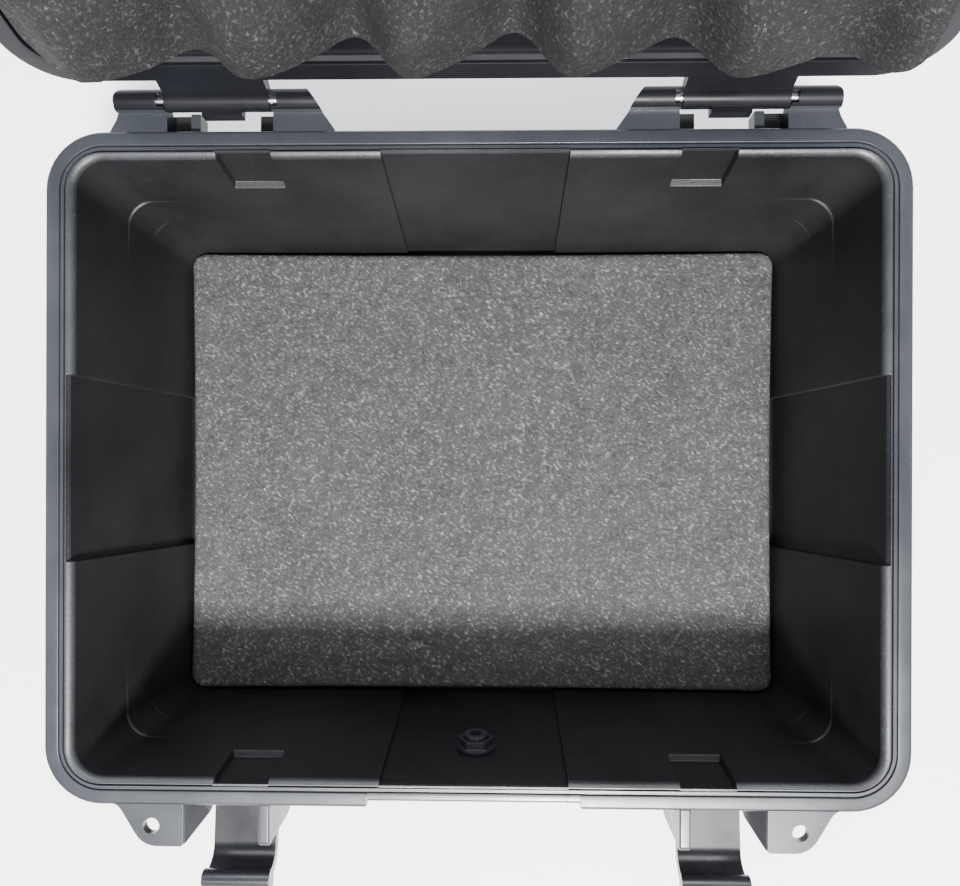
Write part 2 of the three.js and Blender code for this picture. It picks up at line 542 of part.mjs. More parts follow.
const valveBody = () => {
  const [low, high] = VALVE_FLANGE_Z;
  return cut(join(barZ(VALVE_TUBE_R, -8.5, low + 0.5), disc(VALVE_FLANGE_R, low, high)),
    barZ(2.6, -9, high + 1), barZ(3.9, high - 1, high + 1));
};
const valveMembrane = () => barZ(3.5, VALVE_FLANGE_Z[1] - 0.7, VALVE_FLANGE_Z[1] - 0.3);
const valveGasket = () => ring(VALVE_TUBE_R + CLEAR, 8, SEAL_Z[0], SEAL_Z[1], VALVE_SIDES);
const valveNut = () => {
  const top = -WALL / 2 - CLEAR;
  return cut(join(disc(8.2, top - 1.6, top), disc(7.6, top - 5, top - 1, 6)),
    barZ(VALVE_TUBE_R + CLEAR, top - 8, top + 1));
};
const valveCap = () => {
  const z = VALVE_FLANGE_Z[1] + 0.4;
  const cap = join(disc(VALVE_CAP_R, z - 2.4, z + 1.6), disc(VALVE_FLANGE_R, z + 1.5, z + 2.6));
  return cut(cap, disc(VALVE_FLANGE_R + CLEAR, z - 3, z));
};

// ---------------------------------------------------------------- soft liner
const floorPad = () => {
  const [width, depth, thick] = PAD_SIZE;
  const face = (z) => ({ half: [width / 2, depth / 2], radius: PAD_RADIUS, z });
  return draftedBlock(face(FLOOR_Z + 0.3), face(FLOOR_Z + 0.3 + thick));
};

// ---------------------------------------------------------------- finish of each piece
const finish = (color, roughness, metalness = 0) => new THREE.MeshStandardMaterial(
  { color, roughness, metalness });
const SHELL = [0x24262b, 0.55];
const FITTING = [0x1e2025, 0.42];
const FOAM = [0x3a3a3c, 0.97];
const RUBBER = [0x151517, 0.85];
const STEEL = [0xb9bcc0, 0.28, 1];
const MEMBRANE = [0xe6e6e2, 0.8];

const piece = (name, solid, look) => {
  const mesh = new THREE.Mesh(geometryOf(solid), finish(...look));
  mesh.name = name;
  return mesh;
};

// ---------------------------------------------------------------- assembly
const hardCase = new THREE.Group();
hardCase.add(piece('base_shell', baseShell(), SHELL));
hardCase.add(piece('floor_pad', floorPad(), FOAM));

const lid = new THREE.Group();
lid.position.set(0, HINGE_Y, HINGE_Z);
lid.rotation.x = -THREE.MathUtils.degToRad(LID_OPEN);
const lidPieces = [['lid_shell', lidShell(), SHELL], ['lid_gasket', lidGasket(), RUBBER],
  ['lid_foam', lidFoam(), FOAM]];
lidPieces.forEach(([name, solid, look]) => {
  const mesh = piece(name, solid, look);
  mesh.position.set(0, -HINGE_Y, -HINGE_Z);
  lid.add(mesh);
});
hardCase.add(lid);

[['left', -1], ['right', 1]].forEach(([side, way]) => {
  const hingePin = sidePin(way, HINGE_PIN_R, HINGE_PIN_X, [HINGE_Y, HINGE_Z]);
  hardCase.add(piece(`hinge_pin_${side}`, hingePin, STEEL));

  const latch = new THREE.Group();
  latch.position.set(way * LATCH_X, ...LATCH_PIVOT);
  const body = piece(`latch_${side}`, latchBody(), FITTING);
  body.rotation.x = THREE.MathUtils.degToRad(LATCH_OPEN);
  const latchPin = sidePin(way, LATCH_PIN_R, LATCH_PIN_X, [0, 0]);
  latch.add(body, piece(`latch_pin_${side}`, latchPin, STEEL));
  hardCase.add(latch);

  const handlePin = sidePin(way, HANDLE_PIN_R, HANDLE_PIN_X, HANDLE_PIVOT);
  hardCase.add(piece(`handle_pin_${side}`, handlePin, STEEL));
});

hardCase.add(piece('handle_frame', handleFrame(), FITTING));
hardCase.add(piece('handle_grip', handleGrip(), RUBBER));

const valve = new THREE.Group();
valve.applyMatrix4(valveMatrix());
valve.add(piece('valve_body', valveBody(), FITTING), piece('valve_gasket', valveGasket(), RUBBER),
  piece('valve_nut', valveNut(), FITTING), piece('valve_membrane', valveMembrane(), MEMBRANE),
  piece('valve_cap', valveCap(), FITTING));
hardCase.add(valve);

export default hardCase;
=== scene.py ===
import json
import math

import bmesh
import bpy
from mathutils import Matrix, Vector, noise


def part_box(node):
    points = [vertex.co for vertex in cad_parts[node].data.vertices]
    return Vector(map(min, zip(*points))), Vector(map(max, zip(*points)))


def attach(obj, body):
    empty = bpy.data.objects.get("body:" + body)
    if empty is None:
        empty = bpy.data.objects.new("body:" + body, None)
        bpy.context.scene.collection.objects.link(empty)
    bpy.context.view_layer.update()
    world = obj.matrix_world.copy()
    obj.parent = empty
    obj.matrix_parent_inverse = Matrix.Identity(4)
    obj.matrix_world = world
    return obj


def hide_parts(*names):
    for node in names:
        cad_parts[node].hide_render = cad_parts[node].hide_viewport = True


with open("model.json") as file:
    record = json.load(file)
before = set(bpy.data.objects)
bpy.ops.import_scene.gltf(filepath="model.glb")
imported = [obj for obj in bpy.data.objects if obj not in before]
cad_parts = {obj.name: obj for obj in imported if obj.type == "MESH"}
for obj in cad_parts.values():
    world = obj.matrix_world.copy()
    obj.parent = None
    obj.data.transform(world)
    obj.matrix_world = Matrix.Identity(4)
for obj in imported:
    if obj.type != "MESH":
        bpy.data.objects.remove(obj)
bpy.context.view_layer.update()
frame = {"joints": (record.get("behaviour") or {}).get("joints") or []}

# ------------------------------------------------------------ driving dimensions, in mm
MM = 0.001
JOINT = {joint["name"]: joint for joint in frame["joints"]}

RIM_HALF = (170, 132.9)           # outside of the rim, half width and half depth
RIM_RADIUS = 23
RIM_Z = 104
FLOOR_Z = 6
FLOOR_HALF = (144, 109)           # cavity at the floor, and at the rim
MOUTH_HALF = (157.9, 121.7)
FLOOR_RADIUS, MOUTH_RADIUS = 8, 12
WALL = 3.4
STRAIGHT = (136, 101)             # the stretch of each side that holds features, from its middle
FLANGE_LOW = RIM_Z - 13
LIP_INSET = 9.4

BAY_HALF, BAY_DEPTH = 36.8, 2
PANEL_HALF, PANEL_LOW = 42, 12
NOTCH_X, NOTCH_HALF, NOTCH_DEPTH = 91.2, 10.7, 2.6
NOTCH_Z = RIM_Z - 24
BOSS, BOSS_LOW = (77, 106), NOTCH_Z - 10      # the outside of a notch
LEDGE_Z, LEDGE_IN, LEDGE_FROM = RIM_Z - 36, 0.4, (122, 86)
LOW_LEDGE_Z, LOW_LEDGE_IN = RIM_Z - 55, 0.4
BUMPER_FROM, BUMPER_OUT, BUMPER_LOW = (118, 84), 2.4, 6.5
FRONT_STEP = 2.4

LID_OPEN = JOINT["lid_hinge"]["range_deg"][1]
HINGE = Vector(JOINT["lid_hinge"]["pos_m"]) / MM
LID_LOW = RIM_Z + 0.5
LID_FLANGE_TOP = RIM_Z + 9
LID_TOP = RIM_Z + 46
LID_ROOF = LID_TOP - 3.2
LID_CROWN = 5.5                   # height of the round edge of the top
LATCH_OPEN = -JOINT["latch_right_hinge"]["range_deg"][0]
LATCH = Vector(JOINT["latch_right_hinge"]["pos_m"]) / MM
HANDLE = Vector(JOINT["handle_hinge"]["pos_m"]) / MM
EAR_HALF_GAP, EAR_THICK, EAR_FRONT = 14.6, 4.5, -149
PADLOCK_HOLE = (127, -141)
PADLOCK_HOLE_R, PADLOCK_PLATE = 3.15, 4
BARREL_R = 4.2
STRAP_HALF = 13.4
BEVEL_ANGLE, SHARP_ANGLE = 35, 40  # degrees
CORNER_STEPS, ARC_STEPS = 5, 8

LID_PLACE = (Matrix.Translation(HINGE) @ Matrix.Rotation(-math.radians(LID_OPEN), 4, "X")
             @ Matrix.Translation(-HINGE))


# ------------------------------------------------------------ mesh tools
def piece(name, verts, faces, place=Matrix.Identity(4)):
    """A mesh object from points in mm, moved by a matrix in mm and stored in metres."""
    mesh = bpy.data.meshes.new(name)
    mesh.from_pydata([place @ Vector(v) * MM for v in verts], [], faces)
    ob = bpy.data.objects.new(name, mesh)
    bpy.context.scene.collection.objects.link(ob)
    work = bmesh.new()
    work.from_mesh(mesh)
    bmesh.ops.recalc_face_normals(work, faces=work.faces)
    work.to_mesh(mesh)
    work.free()
    return ob


def bake(ob):
    """Turns an object's modifiers into mesh."""
    bpy.context.view_layer.update()
    graph = bpy.context.evaluated_depsgraph_get()
    mesh = bpy.data.meshes.new_from_object(ob.evaluated_get(graph))
    ob.modifiers.clear()
    ob.data = mesh
    return ob


def boolean(ob, tools, operation):
    for tool in tools:
        modifier = ob.modifiers.new("boolean", "BOOLEAN")
        modifier.operation = operation
        modifier.solver = "EXACT"
        modifier.object = tool
    bake(ob)
    for tool in tools:
        bpy.data.objects.remove(tool)
    return ob


def join(ob, *tools):
    return boolean(ob, tools, "UNION")


def cut(ob, *tools):
    return boolean(ob, tools, "DIFFERENCE")


def smooth(ob, angle):
    """Shades smooth and keeps sharp the edges that fold by more than an angle in degrees."""
    ob.data.shade_smooth()
    ob.data.set_sharp_from_angle(angle=math.radians(angle))
    return ob


def soften(ob, width=0.4, segments=2):
    """Rounds the hard edges, unless the width is 0, and shades the rest smooth."""
    if width:
        bevel = ob.modifiers.new("bevel", "BEVEL")
        bevel.width = width * MM
        bevel.segments = segments
        bevel.limit_method = "ANGLE"
        bevel.angle_limit = math.radians(BEVEL_ANGLE)
        bake(ob)
    smooth(ob, SHARP_ANGLE)
    ob.modifiers.new("weighted", "WEIGHTED_NORMAL").keep_sharp = True
    return ob


def rounded(*points):
    """An outline from (a, b) or (a, b, corner radius) points."""
    outline = []
    for i, point in enumerate(points):
        here = Vector(point[:2])
        radius = point[2] if len(point) > 2 else 0
        if not radius:
            outline.append(here)
            continue
        before = here + (Vector(points[i - 1][:2]) - here).normalized() * radius
        after = here + (Vector(points[(i + 1) % len(points)][:2]) - here).normalized() * radius
        for k in range(CORNER_STEPS + 1):
            t = k / CORNER_STEPS
            outline.append(before * (1 - t) ** 2 + here * 2 * t * (1 - t) + after * t * t)
    return outline


def prism(name, outline, low, high, axis="Z", place=Matrix.Identity(4)):
    """An outline carried along an axis: (X, Y) along Z, or (Y, Z) along X."""
    verts = [(p[0], p[1], h) if axis == "Z" else (h, p[0], p[1])
             for h in (low, high) for p in outline]
    count = len(outline)
    sides = [(i, (i + 1) % count, (i + 1) % count + count, i + count) for i in range(count)]
    faces = [tuple(range(count)), tuple(range(count, 2 * count)), *sides]
    return piece(name, verts, faces, place)


def circle(radius, centre=(0, 0), sides=32, squash=1):
    turns = [2 * math.pi * i / sides for i in range(sides)]
    return [Vector((centre[0] + radius * math.cos(turn),
                    centre[1] + radius * squash * math.sin(turn))) for turn in turns]


def lathe(name, profile, place=Matrix.Identity(4), sides=48):
    """A (radius, height) profile turned about Z; it is closed if it stays off the axis."""
    rows = [[(*point, h) for point in circle(r, sides=sides)] for r, h in profile]
    return loft(name, rows, place, closed_rows=all(r > 0 for r, h in profile))


def loft(name, rows, place=Matrix.Identity(4), closed_rows=False, caps=False):
    """Rings of points joined into a surface; the last ring joins the first if closed."""
    width = len(rows[0])
    verts = [v for row in rows for v in row]
    spans = len(rows) if closed_rows else len(rows) - 1
    faces = []
    for r in range(spans):
        for i in range(width):
            a, b = r * width + i, r * width + (i + 1) % width
            step = ((r + 1) % len(rows) - r) * width
            faces.append((a, b, b + step, a + step))
    if caps:
        faces.append(tuple(range(width)))
        faces.append(tuple(range((len(rows) - 1) * width, len(rows) * width)))
    ob = piece(name, verts, faces, place)
    if not closed_rows and not caps:
        merge(ob)
    return ob


def merge(ob):
    """Welds the rings of a turned piece that have shrunk to a point on its axis."""
    work = bmesh.new()
    work.from_mesh(ob.data)
    bmesh.ops.remove_doubles(work, verts=work.verts, dist=MM / 1000)
    bmesh.ops.recalc_face_normals(work, faces=work.faces)
    work.to_mesh(ob.data)
    work.free()
    return ob


def mirrored(make):
    """The right-hand piece and its mirror image, from a function of (hand, flip)."""
    return [make("right", Matrix.Identity(4)), make("left", Matrix.Scale(-1, 4, (1, 0, 0)))]


# ------------------------------------------------------------ the perimeter of the mouldings
SOFT_STEPS = ((-0.45, 0), (-0.15, 0.12), (0.15, 0.88), (0.45, 1))
FAR = 999


def above(value, edge):
    """0 below an edge and 1 above it, with small round corners."""
    gap = value - edge
    if gap <= SOFT_STEPS[0][0]:
        return 0
    for (g0, w0), (g1, w1) in zip(SOFT_STEPS, SOFT_STEPS[1:]):
        if gap <= g1:
            return w0 + (w1 - w0) * (gap - g0) / (g1 - g0)
    return 1


def steps(edges, limit, spacing):
    """Places from -limit to limit, close together at both sides of every edge."""
    marks = {0, limit, -limit}
    for edge in edges:
        marks.update(way * (edge + gap) for way in (-1, 1) for gap, _ in SOFT_STEPS)
    marks = sorted(m for m in marks if abs(m) <= limit)
    filled = []
    for a, b in zip(marks, marks[1:]):
        parts = max(1, round((b - a) / spacing))
        filled += [a + (b - a) * k / parts for k in range(parts)]
    return filled + [limit]


def perimeter(x_edges, y_edges, spacing=9, corner_steps=12):
    """Stations round the case, anticlockwise from the front left: (side, along, turn)."""
    xs = steps(x_edges, STRAIGHT[0], spacing)
    ys = steps(y_edges, STRAIGHT[1], spacing)
    stations = []
    for side, run in enumerate((xs, ys, xs[::-1], ys[::-1])):
        stations += [(side, along, None) for along in run]
        stations += [(side, FAR, k / corner_steps) for k in range(corner_steps + 1)]
    return stations


def station_point(station, half, radius, z, out=0, scaled=False):
    """A station's point on a rounded rectangle, moved outward; scaled fits small rectangles."""
    side, along, turn = station
    if turn is None:
        if scaled:
            along *= (half[side % 2] - radius) / STRAIGHT[side % 2]
        x, y = ((along, -half[1]), (half[0], along), (along, half[1]), (-half[0], along))[side]
        nx, ny = ((0, -1), (1, 0), (0, 1), (-1, 0))[side]
    else:
        angle = (side - 1 + turn) * math.pi / 2
        nx, ny = math.cos(angle), math.sin(angle)
        way_x, way_y = ((1, -1), (1, 1), (-1, 1), (-1, -1))[side]
        x = way_x * (half[0] - radius) + radius * nx
        y = way_y * (half[1] - radius) + radius * ny
    return (x + nx * out, y + ny * out, z)


def wall_at(z):
    """Half sizes and corner radius of the cavity's plain drafted wall at a height."""
    t = (z - FLOOR_Z) / (RIM_Z - FLOOR_Z)
    half = [low + (high - low) * t for low, high in zip(FLOOR_HALF, MOUTH_HALF)]
    return half, FLOOR_RADIUS + (MOUTH_RADIUS - FLOOR_RADIUS) * t


def span(along, low, high):
    """1 between two places on both halves of a side, and 0 elsewhere."""
    return above(abs(along), low) - above(abs(along), high)


# ------------------------------------------------------------ the base moulding
BASE_STATIONS = perimeter(
    (BAY_HALF, PANEL_HALF, BOSS[0], NOTCH_X - NOTCH_HALF, NOTCH_X + NOTCH_HALF, BOSS[1],
     BUMPER_FROM[0], LEDGE_FROM[0]),
    (BAY_HALF, PANEL_HALF, BUMPER_FROM[1], LEDGE_FROM[1]))


def inner_out(station, z):
    """How far the inner wall stands outside its plain drafted face."""
    side, along, turn = station
    bay = 1 - above(abs(along), BAY_HALF)
    notch = 0
    if side % 2 == 0:
        notch = span(along, NOTCH_X - NOTCH_HALF, NOTCH_X + NOTCH_HALF) * above(z, NOTCH_Z)
    if turn is None:
        start, end = LEDGE_FROM[side % 2], STRAIGHT[side % 2]
        near = min(1, max(0, (abs(along) - start) / (end - start))) ** 1.5
        corner = 0
    else:
        near, corner = 1, math.sin(math.pi * turn)
    ledge = near * (1 - above(z, LEDGE_Z)) * (LEDGE_IN + 0.5 * corner)
    ledge += corner * (1 - above(z, LOW_LEDGE_Z)) * LOW_LEDGE_IN
    rise = min(1, (z - FLOOR_Z) / (LOW_LEDGE_Z - FLOOR_Z))
    return bay * BAY_DEPTH + notch * NOTCH_DEPTH - ledge * rise


def outer_out(station, z):
    """How far the outer wall stands outside the inner wall's plain drafted face."""
    side, along, _ = station
    panel = (1 - above(abs(along), PANEL_HALF)) * above(z, PANEL_LOW)
    bumper = above(abs(along), BUMPER_FROM[side % 2]) * above(z, BUMPER_LOW)
    boss = span(along, *BOSS) * above(z, BOSS_LOW) * NOTCH_DEPTH if side % 2 == 0 else 0
    return WALL + panel * BAY_DEPTH + bumper * BUMPER_OUT + boss


def wall_ring(z, out_of, grow=0, most=math.inf):
    """A ring of the inner or outer wall, grown outward but never by more than most."""
    half, radius = wall_at(z)
    return [station_point(station, half, radius, z, min(out_of(station, z) + grow, most))
            for station in BASE_STATIONS]


def rim_ring(inset, z, stations, step_back=1.0, extra=None):
    """A ring measured in from the rim's outer edge; the front edge steps back in the middle."""
    half = [h - inset for h in RIM_HALF]
    ring = []
    for station in stations:
        side, along, turn = station
        back = 0
        if side == 0 and turn is None:
            back = FRONT_STEP * (1 - above(abs(along), PANEL_HALF)) * step_back
        if extra:
            back += extra(station)
        ring.append(station_point(station, half, RIM_RADIUS - inset, z, -back))
    return ring


def flat_ring(half, radius, z, stations):
    """A plain rounded rectangle of any size."""
    return [station_point(station, half, radius, z, scaled=True) for station in stations]


def rows_near(edge):
    return [edge + gap for gap, _ in SOFT_STEPS]


RIM_INDEX, WALL_INDEX, LIP_INDEX = 0, 1, 2     # material slots of the base moulding


def base_mould():
    """The base as rings: up the cavity, over the lip and rim, and down the outside."""
    inner_rows = [9, 12, 16, 24, 32, 40, 46, *rows_near(LOW_LEDGE_Z), 52, 57, 62, 66,
                  *rows_near(LEDGE_Z), 70, 74, 78,
                  *rows_near(NOTCH_Z), 84, 90, 96, 99.5, 101.5, 102.6]
    floor_fillet = ((-5, 0), (-3, 0), (-1.7, 0.2), (-0.8, 0.7), (-0.25, 1.6))
    rows = [wall_ring(FLOOR_Z + up, inner_out, grow) for grow, up in floor_fillet]
    rows += [wall_ring(z, inner_out) for z in inner_rows]
    lip_start = len(rows)
    lip_inside = ((0, -0.9), (0.08, -0.3), (0.32, 0.3), (0.75, 0.85), (1.35, 1.25), (2.1, 1.47))
    for grow, up in lip_inside:
        room = RIM_HALF[0] - LIP_INSET - wall_at(RIM_Z + up)[0][0]
        rows.append(wall_ring(RIM_Z + up, inner_out, grow, room))
    lip_end = len(rows) + 3
    top = ((9.3, 1.5, 0), (8.95, 1.4, 0), (8.75, 1.1, 0), (8.7, 0.4, 0), (8.65, -0.35, 0),
           (8.5, -0.9, 0), (8.05, -0.9, 0), (7.9, -0.6, 0), (7.85, 0.1, 0), (7.7, 0.3, 0),
           (6.6, 0.3, 0), (6.4, 0.1, 0.05), (6.35, -0.6, 0.05), (6.2, -0.9, 0.05),
           (5.8, -0.9, 0.08), (5.65, -0.6, 0.1), (5.6, -0.15, 0.1), (5.3, 0, 0.15),
           (3.6, 0, 0.45), (1.6, 0, 0.8), (0.9, -0.12, 1), (0.35, -0.5, 1), (0.05, -1.1, 1),
           (0, -2, 1), (0, -7, 1), (0, -12, 1), (0.15, -12.6, 1), (0.6, -13, 1), (2.2, -13, 1),
           (2.8, -12.7, 1), (3, -12, 1), (3, -6, 1), (3.3, -4.9, 1), (4, -4.5, 1))
    rows += [rim_ring(inset, RIM_Z + up, BASE_STATIONS, back) for inset, up, back in top]
    rim_end = len(rows)
    outer_rows = [95, 88, 80, 74, *rows_near(BOSS_LOW)[::-1], 62, 50, 40, 30, 20,
                  *rows_near(PANEL_LOW)[::-1], 9, *rows_near(BUMPER_LOW)[::-1]]
    rows += [wall_ring(RIM_Z - 4.5, outer_out, 0.8), wall_ring(RIM_Z - 5.4, outer_out, 0.1)]
    rows += [wall_ring(z, outer_out) for z in outer_rows]
    rows += [wall_ring(4.6, outer_out), wall_ring(3.6, outer_out, -0.6),
             wall_ring(2.6, outer_out, -1.5), wall_ring(2, outer_out, -2.8)]
    mould = loft("base_mould", rows, caps=True)
    width = len(BASE_STATIONS)
    for polygon in mould.data.polygons:
        row = polygon.index // width
        if lip_start <= row < lip_end:
            polygon.material_index = LIP_INDEX
        elif lip_end <= row < rim_end:
            polygon.material_index = RIM_INDEX
        else:
            polygon.material_index = WALL_INDEX
    return mould


FOOT_STATIONS = perimeter((), (), spacing=60, corner_steps=6)
FOOT_PLACES = {"front_left": (-124, -92), "rear_left": (-124, 92),
               "front_right": (124, -92), "rear_right": (124, 92)}
FOOT_HALF, FOOT_RADIUS = (16, 12), 5
FOOT_LEVELS = ((0, -0.5), (0.15, -0.15), (0.5, 0), (2.6, 1))


def low_block(name, half, radius, centre, levels, place=Matrix.Identity(4)):
    """A low block with round corners, from (height, growth) levels."""
    rows = [[(x + centre[0], y + centre[1], height) for x, y, height in
             flat_ring([h + grow for h in half], radius + grow, z, FOOT_STATIONS)]
            for z, grow in levels]
    return loft(name, rows, place, caps=True)


def feet():
    blocks = [low_block("skid_panel", (60, 45), 8, (0, 0), FOOT_LEVELS)]
    for corner, centre in FOOT_PLACES.items():
        blocks.append(low_block(f"foot_{corner}", FOOT_HALF, FOOT_RADIUS, centre, FOOT_LEVELS))
    return blocks


# ------------------------------------------------------------ hinge brackets of the base
REAR = RIM_HALF[1]
HINGE_OUTER = (121.6, 140.8)
HINGE_INNER = (66, 79.6)
HINGE_STEP = 2.6                  # how far the recess beside the knuckle cuts into a lug


def hinge_bracket(hand, flip):
    """Two lugs of one hinge: the outer one has a round corner, the inner one slants."""
    y, z = HINGE.y, HINGE.z
    tip = y + BARREL_R + 0.3
    outer = rounded((HINGE_OUTER[0], REAR - 4), (HINGE_OUTER[0] + 24, REAR - 4),
                    (HINGE_OUTER[0] + 22.6, REAR + 0.5, 2), (HINGE_OUTER[1], REAR + 6, 4),
                    (HINGE_OUTER[1], tip, 6), (HINGE_OUTER[0], tip))
    inner = rounded((HINGE_INNER[0] - 13, REAR - 4), (HINGE_INNER[1], REAR - 4),
                    (HINGE_INNER[1], tip), (HINGE_INNER[0], tip, 2), (HINGE_INNER[0] - 11, REAR, 2))
    web = rounded((REAR - 4, FLANGE_LOW + 1), (REAR + 7, FLANGE_LOW + 4), (y + 3.4, z - 2.4),
                  (y, z + 1), (y - 3.6, RIM_Z - 0.6, 1), (REAR - 4, RIM_Z - 0.6))
    lugs = []
    for part, plan in (("outer", outer), ("inner", inner)):
        lug = prism(f"hinge_lug_{part}_{hand}", web, 50, 150, "X", flip)
        join(lug, prism("barrel", circle(BARREL_R, (y, z), 40), 50, 150, "X", flip))
        boolean(lug, [prism("plan", plan, 80, 120, "Z", flip)], "INTERSECT")
        inner_end = {"outer": HINGE_OUTER[0], "inner": HINGE_INNER[1]}[part]
        recess = rounded((y - 3.2, z + 0.6), (y + 1.2, z + 0.6), (y + 1.2, z + 9), (y - 3.2, z + 9))
        cut(lug, prism("step", recess, inner_end - HINGE_STEP, inner_end + HINGE_STEP, "X", flip))
        lugs.append(soften(lug, 0.35))
        # Faces of the barrel take the darker second material: painted shade on the barrel, while
        # the web keeps the rim plastic.
        for polygon in lug.data.polygons:
            polygon.material_index = 1 if polygon.center.y / MM > y - BARREL_R + 0.2 else 0
    posts = ((113.2, 123.4, 10.6, 1.2), (109.6, 113.6, 8.4, 8.5), (78.6, 87.8, 10.6, 1.2))
    for i, (x0, x1, out, high) in enumerate(posts):
        section = rounded((REAR - 3, FLANGE_LOW), (REAR + out, FLANGE_LOW),
                          (REAR + out, FLANGE_LOW + high), (REAR - 3, FLANGE_LOW + high))
        lugs.append(soften(prism(f"hinge_web_{i}_{hand}", section, x0, x1, "X", flip), 0.4))
    return lugs


# ------------------------------------------------------------ latch ears and padlock plates
def latch_ear_pair(hand, flip):
    side = rounded((-REAR + 7.8, RIM_Z - 6), (-REAR + 14.5, RIM_Z - 42),
                   (EAR_FRONT + 1.6, RIM_Z - 35, 5), (EAR_FRONT, RIM_Z - 0.3, 2.5),
                   (-REAR + 0.8, RIM_Z - 0.3), (-REAR + 0.8, RIM_Z - 6))
    ears = []
    for part, x in (("in", LATCH.x - EAR_HALF_GAP - EAR_THICK), ("out", LATCH.x + EAR_HALF_GAP)):
        ear = prism(f"latch_ear_{part}_{hand}", side, x, x + EAR_THICK, "X", flip)
        ears.append(soften(ear, 0.8, 3))
    return ears


def padlock_plate(name, low, flip, place=Matrix.Identity(4)):
    inside = LATCH.x + EAR_HALF_GAP + 0.3
    plan = rounded((inside, -REAR + 0.7), (inside, EAR_FRONT, 1.5), (130.5, EAR_FRONT, 6),
                   (140.2, -REAR, 2.5), (142.6, -REAR + 0.7))
    plate = prism(name, plan, low, low + PADLOCK_PLATE, "Z", place @ flip)
    hole = circle(PADLOCK_HOLE_R, PADLOCK_HOLE, 36)
    cut(plate, prism("hole", hole, low - 1, low + PADLOCK_PLATE + 1, "Z", place @ flip))
    return soften(plate, 0.5, 3)


def handle_lug(hand, flip):
    _, y, z = HANDLE
    side = rounded((y + 9.4, z - 12), (y - 5.2, z - 3, 4), (y - 5.2, z + 5.2, 4),
                   (y + 7.4, z + 5.2))
    return [soften(prism(f"handle_lug_{hand}", side, 56, 62.5, "X", flip), 0.6, 3)]


# ------------------------------------------------------------ the lid
HOOK_ROOM = (84.4, 114.4)
POCKET_HALF, POCKET_RADIUS = (17.5, 13.5), 5.5    # the top's pockets for another case's feet
LID_STATIONS = perimeter((PANEL_HALF, *HOOK_ROOM, BUMPER_FROM[0]), (PANEL_HALF, BUMPER_FROM[1]))


def hook_room(station):
    """How far the lid's front edge steps back to make room for a latch's hook bar."""
    side, along, turn = station
    return 3.6 * span(along, *HOOK_ROOM) if side == 0 and turn is None else 0


def lid_bumps(station):
    """The corner bumpers and side panels of the lid's outer wall stand proud."""
    side, along, _ = station
    panel = 1 - above(abs(along), PANEL_HALF)
    bumper = above(abs(along), BUMPER_FROM[side % 2])
    return -(panel * BAY_DEPTH + bumper * BUMPER_OUT)


def lid_mould():
    """The lid as rings: down the inside, round the seal channel and edge, and up the outside."""
    def inside(z):
        return 15 + 4 * (z - LID_LOW) / (LID_ROOF - LID_LOW)

    def outside(z):
        return 11.9 + 4 * (z - LID_FLANGE_TOP) / (LID_TOP - 4 - LID_FLANGE_TOP)

    def ring(inset, z, back=0, extra=None):
        return rim_ring(inset, z, LID_STATIONS, back, extra)

    rows = [ring(26, LID_ROOF), ring(21.5, LID_ROOF), ring(19.8, LID_ROOF - 0.6),
            ring(19, LID_ROOF - 2.4)]
    rows += [ring(inside(z), z) for z in (138, 128, 118, 110, 106)]
    rim = ((15, 0.7), (14.7, 0.15), (14.3, 0), (12.9, 0), (12.65, 0.2), (12.6, 4.5), (8.3, 4.5),
           (8.25, 0.2), (8, 0))
    rows += [ring(inset, LID_LOW + up) for inset, up in rim]
    edge = ((5.9, 0, 0.15), (1.2, 0, 0.9), (0.5, 0.12, 1), (0.12, 0.45, 1), (0, 1, 1), (0, 2.6, 1))
    rows += [ring(inset, LID_LOW + up, back) for inset, up, back in edge]
    above_hook = ((0, 2.9, 1), (0, 7, 1), (0.15, 7.8, 1), (0.6, 8.35, 1), (1.3, 8.5, 1),
                  (6, 8.5, 0.6))
    rows += [ring(inset, LID_LOW + up, back, hook_room) for inset, up, back in above_hook]
    shoulder = ((10.7, 0), (11.6, 0.35), (11.9, 1.4))
    rows += [ring(inset, LID_FLANGE_TOP + up, 0, lid_bumps) for inset, up in shoulder]
    rows += [ring(outside(z), z, 0, lid_bumps) for z in (118, 124, 130, 136, 141)]
    for inset, down in ((16, LID_CROWN), (16.8, 3.4), (18.4, 1.6), (20.6, 0.4), (23.4, 0)):
        fade = down / LID_CROWN
        rows.append(ring(inset, LID_TOP - down, 0, lambda station: lid_bumps(station) * fade))
    panel = (((92, 104), 14, 0), ((86.5, 98.5), 12, 0), ((86, 98), 12, -0.15),
             ((85, 97), 12, -0.65), ((84.4, 96.4), 12, -0.8), ((78, 90), 10, -0.8))
    rows += [flat_ring(half, radius, LID_TOP + up, LID_STATIONS) for half, radius, up in panel]
    mould = loft("lid_mould", rows, LID_PLACE, caps=True)
    levels = ((LID_TOP - 1.6, -0.6), (LID_TOP - 1.4, -0.1), (LID_TOP - 0.2, 0.1),
              (LID_TOP + 0.5, 1))
    return cut(mould, *[low_block("pocket", POCKET_HALF, POCKET_RADIUS, centre, levels, LID_PLACE)
                        for centre in FOOT_PLACES.values()])


